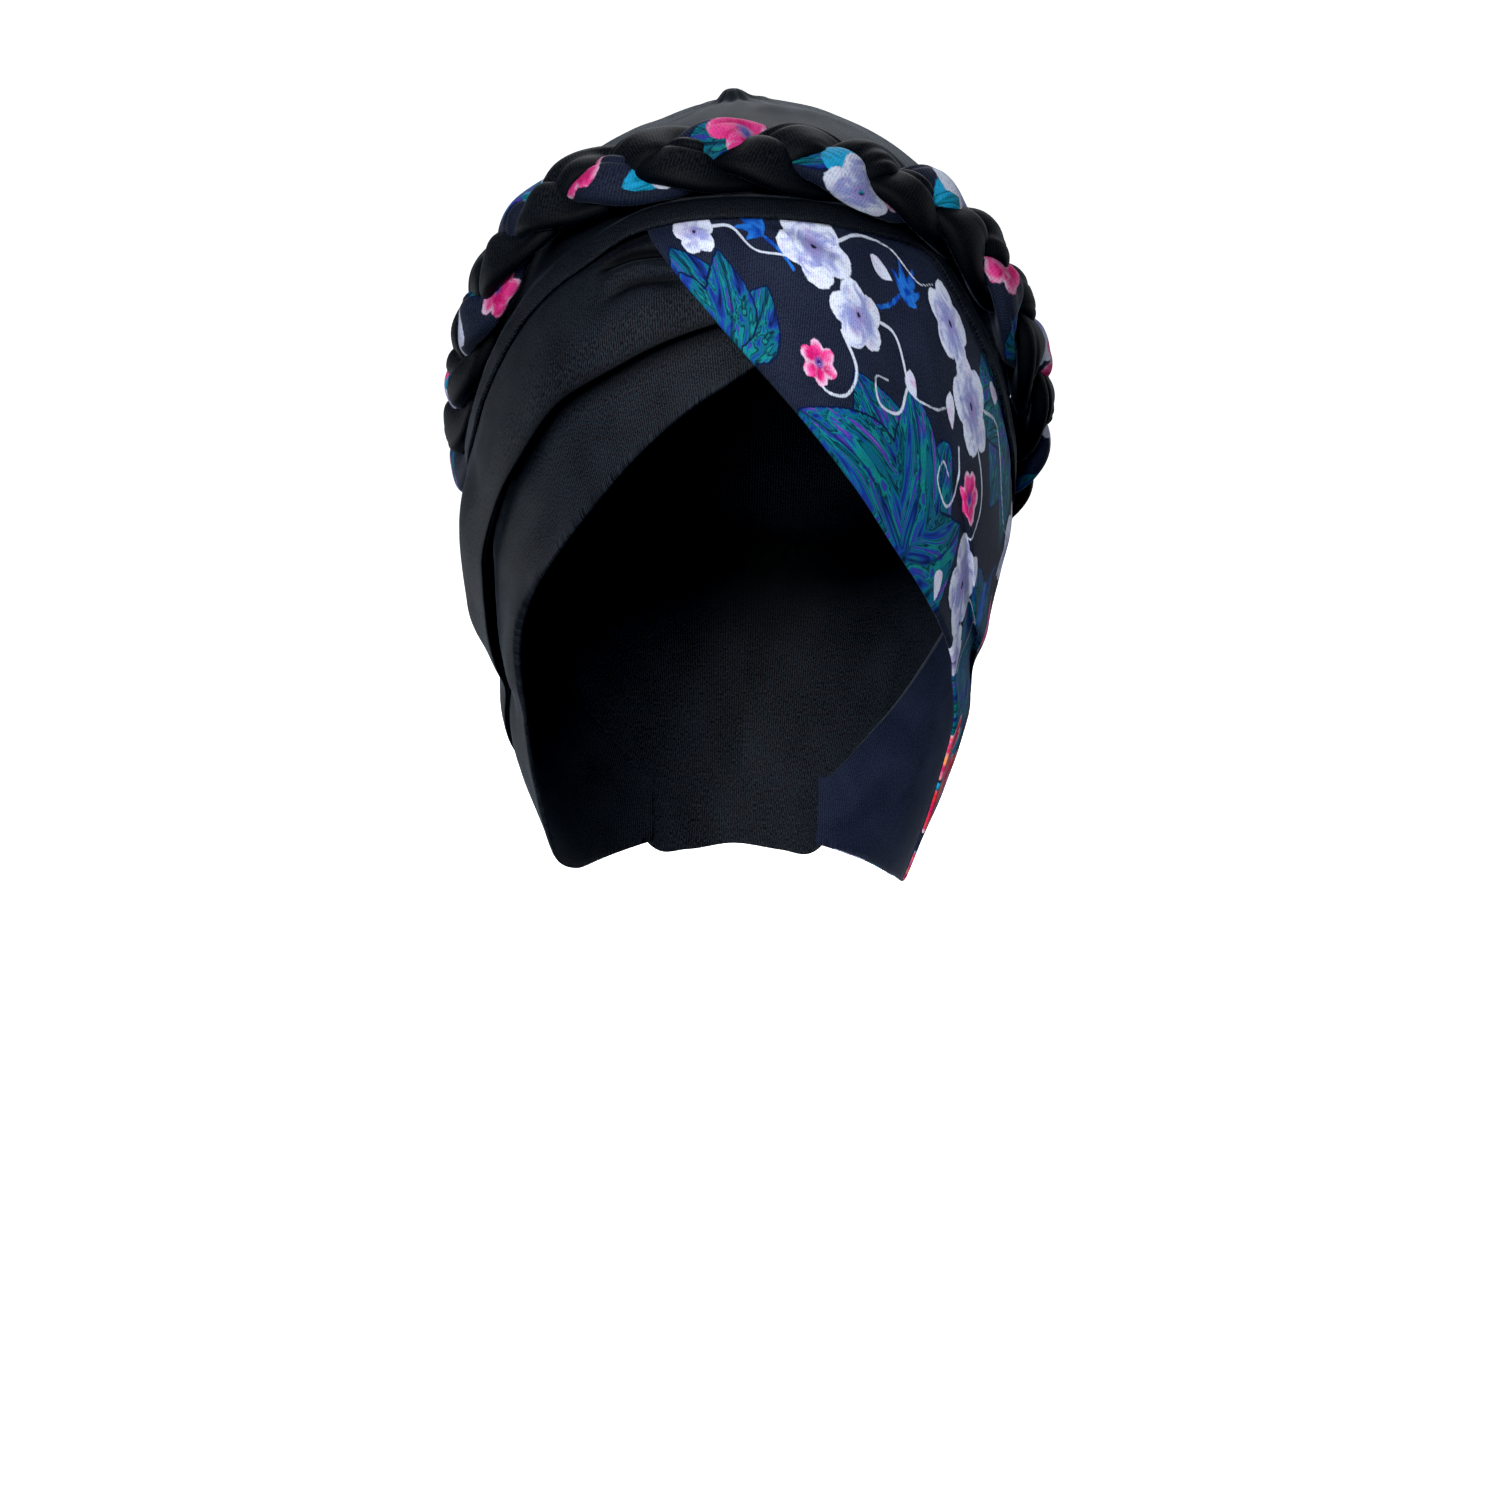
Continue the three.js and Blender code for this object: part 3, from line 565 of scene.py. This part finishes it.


# Panels: each runs from under the crown's rim to a folded free edge, with one deep pleat
# A row of folds or press holds turns, drops, rise, reach above, reach below and the share faded at each end
# The crease, front and groove values place painted shade: by the pleat's crease, under the crown's rim and in
# the folds' grooves
panelCloth = dict(ladder=13, gather=0.72, edgeRoll=1.1, fullStep=3.0, rampPower=1.5,
                  dipPlace=2.6, dipWide=3.2, creaseBelow=2.4, creaseAbove=2.0, creaseGap=2.2,
                  belowSpan=(1.0, 9.0), swellSpan=(0.6, 2.6), swellEnd=(0.8, 1), foldSpan=(0.3, 3.0),
                  hemRise=0.7, hemWide=4.0, soft=[(0.25, 40, 11), (0.10, 15, 12)],
                  frontTurn=-20, frontWide=14, frontShare=0.65, grooveShade=0.8, grooveDepth=1.4,
                  printFrom=0.4)
# creaseFrom, creaseShade, rimShade and rimFade set painted shade by the pleat's crease and under the crown's
# rim
blackPanel = dict(rows=430, above=74, below=66, edge=10, inner=36, tuck=2.8, tuckSize=4.8, slope=1.7,
                  dip=3.4, swell=1.4, creaseFrom=5.6, creaseShade=0.95, rimShade=0.95, rimFade=3.6,
                  seamTurn=[14, 0, -14, -27, -39, -50, -60, -71, -84, -100, -118, -138, -158],
                  edgeTurn=[9, 1.8, -8.8, -18.5, -28, -37.5, -46.5, -53.5, -57.2, -60.5, -74, -112, -155],
                  edgeDrop=[66, 72.4, 79.5, 88.2, 98.5, 108.2, 116.8, 125, 133, 142, 155, 159, 155.4],
                  pleat=[0.8, 0.66, 0.62, 0.585, 0.53, 0.56, 0.57, 0.59, 0.69, 0.76, 0.7, 0.6, 0.5],
                  step=[1.6, 2.6, 4.0, 5.0, 5.4, 5.4, 5.2, 5.0, 4.4, 2.4, 0.8, 0, 0],
                  press=[([-56, -70, -88, -112], [139, 136, 134, 135], -3.0, 9, 9, 0.25)],
                  folds=[([-10, -16, -22, -27, -31], [54.8, 54.4, 54.8, 56.2, 58.6], -2.4, 1.6, 1.6, 0.3),
                         ([-10, -15, -20.8, -25.8, -30], [57.6, 57.7, 57.2, 58.8, 62.5], 1.2, 1.6, 1.6, 0.25),
                         ([-8, -14.2, -20.2, -24, -28], [59.4, 59.2, 59.8, 61.5, 65], -1.5, 1.6, 2.6, 0.3),
                         ([-12, -20, -27, -36], [64, 64.5, 68, 71], 1.2, 5, 8, 0.35),
                         ([-62, -70, -78, -80], [94, 108, 120, 134], 4.2, 14, 9, 0.3),
                         ([-46, -54, -60, -66], [112, 122, 131, 146], 1.5, 4.0, 4.5, 0.3)])
printPanel = dict(rows=430, above=70, below=70, edge=10, inner=36, tuck=1.8, tuckSize=4.0, slope=1.0,
                  dip=0.6, swell=0.7, creaseFrom=3.7, creaseShade=0.4, rimShade=0.8, rimFade=1.8,
                  seamTurn=[-23, -12, 1, 15, 29, 41, 51, 61, 72, 86, 102, 119, 138, 158],
                  edgeTurn=[-21.5, -12, 0, 9.9, 19.5, 30, 40, 48.5, 56, 62.5, 66, 78, 112, 155],
                  edgeDrop=[49.6, 58.6, 70.3, 80.8, 92.2, 104.6, 114.7,
                            122.5, 129.8, 138, 147, 157.5, 159, 155.4],
                  pleat=[0.5, 0.5, 0.5, 0.5, 0.52, 0.54, 0.6, 0.72, 0.8, 0.7, 0.6, 0.5, 0.5, 0.5],
                  step=[0, 0, 0, 0, 0, 0.4, 1.2, 2.0, 2.4, 2.4, 1.6, 0.6, 0, 0],
                  press=[([52, 68, 88, 112], [128, 131, 134, 137], -3.8, 9, 8, 0.25)],
                  folds=[([70, 78, 86, 94], [98, 108, 117, 128], 1.6, 10, 8, 0.3),
                         ([3, 7, 11, 16], [48.8, 51, 54, 59], 0.8, 1.8, 1.8, 0.4),
                         ([8, 12, 17, 22], [49, 51.2, 54.5, 59], -0.6, 1.6, 1.6, 0.4),
                         ([-13, -10, -7, -3], [49, 50.4, 52.4, 56], 0.6, 1.6, 1.6, 0.4),
                         ([-6, -3, 0, 4], [49, 50.4, 52.6, 56], -0.5, 1.6, 1.6, 0.4)])


def panelPiece(name, p, lapped, motifs=(), vines=()):  # sections swept from the forehead to the nape
    cloth = panelCloth
    rows = np.linspace(0, len(p["seamTurn"]) - 1, p["rows"])[:, None]
    keys = np.arange(len(p["seamTurn"]))
    seam, edge, low, crest, step = (curveThrough(keys, p[key])(rows)
                                    for key in ("seamTurn", "edgeTurn", "edgeDrop", "pleat", "step"))
    high = layers["seamTuck"] * rimDrop(seam)
    ladder = np.linspace(0, 1, cloth["ladder"])
    spine = onHollow(seam + (edge - seam) * ladder, high + (low - high) * ladder, 0)
    width = np.linalg.norm(np.diff(spine, axis=1), axis=-1).sum(axis=1)[:, None]
    walk = np.linalg.norm(np.diff(spine[:, cloth["ladder"] // 2], axis=0), axis=-1)
    along = np.concatenate([[0], np.cumsum(walk)])[:, None]
    up = np.linspace(0, 1, p["above"], endpoint=False) ** cloth["gather"]
    under = 1 - np.linspace(1, 0, p["below"]) ** cloth["gather"]
    outer = np.concatenate([crest * up, crest + (1 - crest) * under], axis=1)
    roll = np.linspace(0, np.pi, p["edge"] + 2)[1:-1]
    inner = np.linspace(1, 0, p["inner"])
    ones = np.ones_like(rows)
    share = np.concatenate([outer, ones + 0 * roll, ones * inner], axis=1)
    side = np.concatenate([np.ones(outer.shape[1]), 0.5 + 0.5 * np.cos(roll), np.zeros(p["inner"])])[None]
    bulge = np.concatenate([np.zeros(outer.shape[1]), np.sin(roll), np.zeros(p["inner"])])[None]
    onOuter = np.concatenate([np.ones(outer.shape[1]), np.zeros(p["edge"] + p["inner"])])[None]
    past = (share - crest) * width
    deep = np.minimum(step / cloth["fullStep"], 1)
    back = p["tuck"] * (deep * onOuter) * past * np.exp(-(past / p["tuckSize"]) ** 2)
    place = share + (bulge * cloth["edgeRoll"] - back) / width
    turn = seam + (edge - seam) * place
    drop = high + (low - high) * place
    clear = drop - rimDrop(turn)
    belowRim = ease(clear, *cloth["belowSpan"])
    swell = p["swell"] * ease(clear, *cloth["swellSpan"]) * (1 - ease(share, *cloth["swellEnd"])) * onOuter
    ramp = np.where(past < 0, np.clip(share / crest, 0, 1) ** cloth["rampPower"], 1)
    fall = 0.5 - 0.5 * np.tanh(past / (2 * p["slope"]))
    pleat = step * ramp * fall * onOuter
    dip = p["dip"] * deep * np.exp(-((past - cloth["dipPlace"]) / cloth["dipWide"]) ** 2)
    base = onHollow(turn, drop, 0)
    over = overlapAt(turn) * (layers["step"] + overlap["slack"] * belowRim) if lapped else 0
    toEdge = (1 - share) * width
    hem = cloth["hemRise"] * np.exp(-(toEdge / cloth["hemWide"]) ** 2)
    soft = softness(base, cloth["soft"])
    folds = foldRise(p["folds"], turn, drop) * onOuter * ease(clear, *cloth["foldSpan"])
    rise = belowRim * (pleat + soft * onOuter - dip) + folds + swell + foldRise(p["press"], turn, drop)
    lift = layers["first"] + over + side * (layers["cloth"] + hem) + rise
    points = onHollow(turn, drop, lift)
    # painted shade: dark by the pleat's crease, under the crown's rim (most at the front) and in the folds'
    # grooves
    belowCrease = (past - p["creaseFrom"]) / cloth["creaseBelow"]
    aboveCrease = (-cloth["creaseGap"] - past) / cloth["creaseAbove"]
    outside = np.where(past > 0, belowCrease, aboveCrease)
    crease = deep * np.exp(-np.clip(outside, 0, None) ** 2)
    front = np.exp(-((turn - cloth["frontTurn"]) / cloth["frontWide"]) ** 2)
    under = p["rimShade"] * np.exp(-np.clip(clear, 0, None) / p["rimFade"])
    under = under * (1 - cloth["frontShare"] + cloth["frontShare"] * front)
    paintedGrooveShade = cloth["grooveShade"] * np.clip(-folds / cloth["grooveDepth"], 0, 1)
    shade = np.clip(p["creaseShade"] * crease + under + paintedGrooveShade, 0, 1) * onOuter
    flat = np.stack(np.broadcast_arrays(along, (share - 0.5) * width), axis=-1)
    fields = {**printFields(flat, side > cloth["printFrom"], motifs, vines), "shade": shade}
    flat = np.concatenate([flat, flat[:, :1]], axis=1)
    print(name, "width", width.min().round(1), "to", width.max().round(1), "length", along.max().round(1))
    if seam[0] > seam[-1]:
        points, flat = points[:, ::-1], flat[:, ::-1]
        fields = {key: value[:, ::-1] for key, value in fields.items()}
    return gridPiece(name, points, flat, attributes=fields)


# Plait: three soft strands laid over and under round the crown
def restOnCrown(points, rest):  # points lower than the set lift are pushed out along their rays to it
    centre = np.array([0, 0, -hollow["upHeight"]])
    ray = points - centre
    size = np.linalg.norm(ray, axis=-1)
    turn = np.degrees(np.arctan2(ray[..., 0], -ray[..., 1]))
    drop = np.degrees(np.arccos(ray[..., 2] / size))
    lowest = np.linalg.norm(onHollow(turn, drop, rest) - centre, axis=-1)
    return centre + ray * np.maximum(1, lowest / size)[..., None]


def strandPiece(name, lead, seed, motifs=()):  # a soft flat band carried along its weaving line to its start
    p = plait
    fine = np.linspace(-180, 180, p["routeSteps"])
    route = onHollow(fine, plaitDrop(np.abs(fine)), p["seat"])
    length = np.concatenate([[0], np.cumsum(np.linalg.norm(np.diff(route, axis=0), axis=-1))])
    share = np.arange(p["steps"]) / p["steps"]
    turn = np.interp(share * length[-1], length, fine)
    drop = plaitDrop(np.abs(turn))
    leftRise = p["rise"] * np.exp(-((turn - p["riseTurn"]) / p["riseWide"]) ** 2)
    backRise = p["backRise"] * ease(np.abs(turn), *p["backSpan"])
    spine = onHollow(turn, drop, p["seat"] + leftRise + backRise)
    facing = outward(turn, drop)
    upward = unit(np.cross(facing, np.roll(spine, -1, axis=0) - np.roll(spine, 1, axis=0)))
    phase = 2 * np.pi * (p["lays"] * share + p["start"] + lead) - p["gather"] * np.sin(2 * np.pi * share)
    swing = upward * (p["sway"] * np.sin(phase))[:, None]
    middle = spine + swing + facing * (p["weave"] * np.sin(2 * phase))[:, None]
    run = unit(np.roll(middle, -1, axis=0) - np.roll(middle, 1, axis=0))
    broad = unit(np.cross(facing, run))
    lean = np.radians(p["roll"]) * np.cos(p["rolls"] * phase)[:, None]
    thick = np.cross(run, broad)
    broad, thick = broad * np.cos(lean) + thick * np.sin(lean), thick * np.cos(lean) - broad * np.sin(lean)
    angle = np.linspace(0, 2 * np.pi, p["around"], endpoint=False)[None]
    power = 2 / p["square"]
    flatCos = np.sign(np.cos(angle)) * np.abs(np.cos(angle)) ** power
    flatSin = np.sign(np.sin(angle)) * np.abs(np.sin(angle)) ** power
    whole = 2 * np.pi * share
    loop = np.stack([np.cos(whole), np.sin(whole), 0 * share], axis=-1) * length[-1] / (2 * np.pi)
    puff = 1 + p["puff"] * waves(loop, p["puffLength"], seed)
    dent = np.zeros((p["steps"], p["around"]))
    for k in range(p["creases"]):
        line = np.pi / 2 + p["creaseApart"] * (k - 1)
        wander = line + p["wander"] * waves(loop, p["wanderLength"], seed + 1 + k)
        crease = np.exp(-(((angle - wander[:, None] + np.pi) % (2 * np.pi) - np.pi) / p["creaseWide"]) ** 2)
        present = ease(waves(loop, p["creaseLength"], seed + 5 + k), *p["creaseSpan"])
        dent = dent + p["crease"] * present[:, None] * crease
    swell = (1 + p["swell"] * np.sin(2 * phase)) * puff
    wide = p["halfWidth"] * puff[:, None] * (1 - dent)
    high = p["halfThick"] * swell[:, None] * (1 - 2 * dent) * np.where(flatSin < 0, p["under"], 1)
    across = broad[:, None] * (wide * flatCos)[..., None]
    points = middle[:, None] + across + thick[:, None] * (high * flatSin)[..., None]
    points = restOnCrown(points, p["rest"])
    strandLength = np.linalg.norm(np.diff(middle, axis=0), axis=-1).sum()
    girth = 2 * np.pi * p["meanRadius"]
    around = angle / (2 * np.pi) * girth
    flat = np.stack(np.broadcast_arrays((share * strandLength)[:, None], around), axis=-1)
    # painted shade on the strands: even shade, lighter on the left and darker on the right, more at the edges
    # and where a strand goes under, less on the printed strand
    over = 0.5 + 0.5 * np.sin(2 * phase)[:, None]
    paintedSideShade = p["shade"] + p["sideShade"] * np.sin(np.radians(turn))[:, None]
    paintedEdgeAndTuckShade = np.abs(flatCos) ** p["edgePower"] * p["edgeShade"] + (1 - over) * p["underShade"]
    shade = paintedSideShade + (1 - paintedSideShade) * np.clip(paintedEdgeAndTuckShade, 0, p["mostShade"])
    shade = shade * (p["printShade"] if motifs else 1)
    fields = {**printFields(flat, True, motifs, (), (strandLength, girth)), "shade": shade}
    alongEnd = np.array([strandLength, 0])
    flat = np.concatenate([flat, flat[:, :1] + np.array([0, girth])], axis=1)
    flat = np.concatenate([flat, flat[:1] + alongEnd], axis=0)
    print(name, "length", round(float(strandLength), 1))
    return gridPiece(name, points, flat, wrapRows=True, attributes=fields)


def fan(x, y, size, turns, less=0.05):  # leaves spread from one foot, each a little smaller, in two layers
    return [("leaf" if k % 2 else "frond", x, y, size * (1 - less * k), turn) for k, turn in enumerate(turns)]


panelMotifs = [  # kind, place along and across the panel, size, turn
    *fan(32, 25, 31, (-168, -136, -102, -66)), ("bloom", 18, -4, 7.5, 20), ("sprig", 40, -14, 12, 200),
    ("bloom", 56, -18, 12, 8), ("bloom", 71, -5, 9.5, 30), ("bud", 76, -27, 9, 20), ("star", 60, 14, 6, 10),
    *fan(104, 47, 52, (-160, -132, -104, -76, -46)), ("sprig", 88, -22, 13, -60),
    ("bud", 92, -2, 8, 60), ("bloom", 112, -28, 11, 40), ("bloom", 126, -14, 13, 12),
    ("bud", 112, -8, 9, 70), ("bud", 140, -30, 9, -30), ("star", 132, 8, 6.5, 30),
    *fan(162, -38, 42, (142, 108, 74)), ("bloom", 146, 26, 12, 0), ("bloom", 159, 39, 8.5, 30),
    ("bud", 128, 34, 9, 100), ("sprig", 170, 12, 12, 100), *fan(184, 44, 44, (-138, -104, -70)),
    ("bloom", 186, -16, 11, 20), ("ember", 199, 40, 9, 0), ("cyan", 204, 30, 26, 40), ("star", 196, 4, 7, 0),
    ("ember", 219, 40, 11, 20), ("cyan", 226, 30, 24, 60), ("ember", 240, 46, 11, 10),
    *fan(232, 10, 36, (-120, -80, -36)), ("cyan", 246, 36, 24, -14), ("bloom", 216, -14, 11, 0),
    ("ember", 262, 22, 11, 15), ("bloom", 250, -24, 10, 0), ("star", 276, 2, 7.5, 0),
    ("bloom", 282, 30, 10, 10), *fan(300, -20, 34, (146, 106, 66)), ("cyan", 286, 14, 24, 30),
    ("bloom", 312, 16, 9, 0)]
panelVines = [  # half width at the start, then places along and across the panel
    (0.52, [(22, -8), (30, -12), (38, -8), (46, -10), (54, -12)]),
    (0.52, [(66, 2), (72, 10), (70, 18), (63, 20), (60, 15), (64, 13)]),
    (0.52, [(64, -24), (72, -31), (84, -34), (96, -30), (104, -34)]),
    (0.52, [(78, -8), (86, -8), (94, 4), (104, 2), (110, -2)]),
    (0.48, [(92, 4), (90, 12), (82, 14), (79, 8), (84, 6)]),
    (0.52, [(130, -8), (138, -2), (142, 6), (140, 16), (144, 22)]),
    (0.48, [(120, 2), (124, 12), (120, 20), (112, 18), (113, 12), (118, 13)]),
    (0.52, [(136, -20), (148, -24), (160, -14), (172, -10), (182, -14)]),
    (0.48, [(150, 34), (160, 24), (170, 22), (178, 28), (174, 34), (169, 31)])]
strandPrint = dict(kinds=["star", "cyan", "bloom", "frond", "star", "leaf", "cyan", "bloom"], rounds=7,
                   sizes=dict(star=8.6, bloom=9, cyan=22, frond=26, leaf=26), seed=21,
                   spacing=13.0, front=7.7, along=2, across=3.5, turn=40)


def strandMotifs():  # a row along the middle of the outer side, each moved and turned a little at random
    p = strandPrint
    draw = np.random.default_rng(p["seed"])
    return [(kind, p["spacing"] * k + draw.uniform(-p["along"], p["along"]),
             p["front"] + draw.uniform(-p["across"], p["across"]), p["sizes"][kind],
             draw.uniform(-p["turn"], p["turn"])) for k, kind in enumerate(p["kinds"] * p["rounds"])]


black, printed = blackJersey(), printJersey()
print("materials made:", black.name, printed.name)
pieces = {
    "crown": crownPiece(),
    "front_panel_black": panelPiece("turban_panel_black", blackPanel, False),
    "front_panel_print": panelPiece("turban_panel_print", printPanel, True, panelMotifs, panelVines),
    "plait_strand_print": strandPiece("turban_strand_print", 0, 31, strandMotifs()),
    "plait_strand_black_a": strandPiece("turban_strand_black_a", 1 / 3, 41),
    "plait_strand_black_b": strandPiece("turban_strand_black_b", 2 / 3, 51),
}
for node, piece in pieces.items():
    isPrint = "print" in node
    piece.data.materials.append(printed if isPrint else black)
    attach(piece, "root")
    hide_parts(node)
print("pieces made:", len(pieces))


# Studio: a pale floor and wall, a dim sky and soft lights
studio = dict(floorDrop=-0.415, floorHalf=12.0, wallHeight=9.0, wallSides=48, paleTone=tone(250, 250, 250),
              paleRoughness=0.9, paleSpecular=0.1, glow=1.0, skyLow=0.05, skyHigh=0.16, skySpan=(-1.0, 0.8),
              lampAim=(0, 0, -0.1), blackLevel=0.0024)


def palePiece(name, points, faces, material):  # a glowing backdrop that lights nothing
    mesh = bpy.data.meshes.new(name)
    mesh.from_pydata(points, [], faces)
    mesh.materials.append(material)
    piece = bpy.data.objects.new(name, mesh)
    bpy.context.scene.collection.objects.link(piece)
    piece.visible_diffuse = False
    piece.visible_glossy = False
    return piece


def backdrop():  # a square floor, and a ring of wall on its inner circle
    half, low, high, count = (studio[key] for key in ("floorHalf", "floorDrop", "wallHeight", "wallSides"))
    material, s, shader = newMaterial("studio_pale")
    shader.inputs["Base Color"].default_value = (*studio["paleTone"], 1)
    shader.inputs["Roughness"].default_value = studio["paleRoughness"]
    shader.inputs["Specular IOR Level"].default_value = studio["paleSpecular"]
    shader.inputs["Emission Color"].default_value = (1, 1, 1, 1)
    shader.inputs["Emission Strength"].default_value = studio["glow"]
    corners = [(-half, -half, low), (half, -half, low), (half, half, low), (-half, half, low)]
    palePiece("studio_floor", corners, [(0, 1, 2, 3)], material)
    angle = np.linspace(0, 2 * np.pi, count, endpoint=False)
    ring = np.stack([half * np.cos(angle), half * np.sin(angle)], axis=-1)
    points = [(x, y, z) for z in (low, high) for x, y in ring]
    faces = [(k, k + count, (k + 1) % count + count, (k + 1) % count) for k in range(count)]
    palePiece("studio_wall", points, faces, material).visible_shadow = False


lamps = [dict(name="key", place=(-0.5, -1.6, 0.4), size=0.9, power=41, tint=(0.97, 0.985, 1)),
         dict(name="fill", place=(1.3, -1.2, 0.2), size=1.2, power=5, tint=(0.95, 0.97, 1)),
         dict(name="bounce", place=(-0.35, -1.4, -0.75), size=1.4, power=8, tint=(0.97, 0.985, 1)),
         dict(name="top", place=(0.1, 1.1, 1.1), size=1.2, power=28, tint=(0.94, 0.97, 1)),
         dict(name="leftRim", place=(-1.3, 0.9, -0.7), size=1.0, power=15, tint=(0.92, 0.96, 1)),
         dict(name="rightRim", place=(1.2, 0.8, 0.0), size=1.1, power=6, tint=(0.92, 0.96, 1))]


def addLamps():  # soft squares turned to one place, and a sky that is lighter above
    aim = Vector(studio["lampAim"])
    for row in lamps:
        light = bpy.data.lights.new(row["name"], "AREA")
        light.size = row["size"]
        light.energy = row["power"]
        light.color = row["tint"]
        lamp = bpy.data.objects.new(row["name"], light)
        lamp.location = row["place"]
        lamp.rotation_euler = (aim - lamp.location).to_track_quat("-Z", "Y").to_euler()
        bpy.context.scene.collection.objects.link(lamp)
    world = bpy.data.worlds.new("pale_sky")
    world.use_nodes = True
    sky = world.node_tree.nodes["Background"]
    sky.inputs["Color"].default_value = (1, 1, 1, 1)
    s = Sock(world.node_tree)
    way = s.node("ShaderNodeTexCoord")
    rise = s.node("ShaderNodeSeparateXYZ", None, {0: way}, out=2)
    light = rise.mask(*studio["skySpan"]) * (studio["skyHigh"] - studio["skyLow"]) + studio["skyLow"]
    world.node_tree.links.new(light.socket, sky.inputs["Strength"])
    bpy.context.scene.world = world


lens = dict(target=(0.0044, 0.0, -0.201), distance=1.563, elevation=9.5, roll=1.15, focal=120.0,
            sensor=36.0, reach=60)


def addCamera():  # looks along +Y and down, rolled a little, at a set distance from its target
    tilt, roll = np.radians(lens["elevation"]), np.radians(lens["roll"])
    ahead = np.array([0, np.cos(tilt), -np.sin(tilt)])
    level = np.array([0, np.sin(tilt), np.cos(tilt)])
    side = np.array([1.0, 0, 0])
    up = level * np.cos(roll) - side * np.sin(roll)
    right = side * np.cos(roll) + level * np.sin(roll)
    place = np.array(lens["target"]) - ahead * lens["distance"]
    data = bpy.data.cameras.new("view")
    data.lens = lens["focal"]
    data.sensor_width = lens["sensor"]
    data.clip_end = lens["reach"]
    camera = bpy.data.objects.new("view", data)
    columns = np.stack([right, up, -ahead, place], axis=-1)
    camera.matrix_world = Matrix([*columns.tolist(), [0, 0, 0, 1]])
    bpy.context.scene.collection.objects.link(camera)
    bpy.context.scene.camera = camera


backdrop()
addLamps()
addCamera()
shown = bpy.context.scene.view_settings
shown.view_transform = "Standard"
shown.use_curve_mapping = True
shown.curve_mapping.black_level = (studio["blackLevel"],) * 3
shown.curve_mapping.update()
print("studio set")
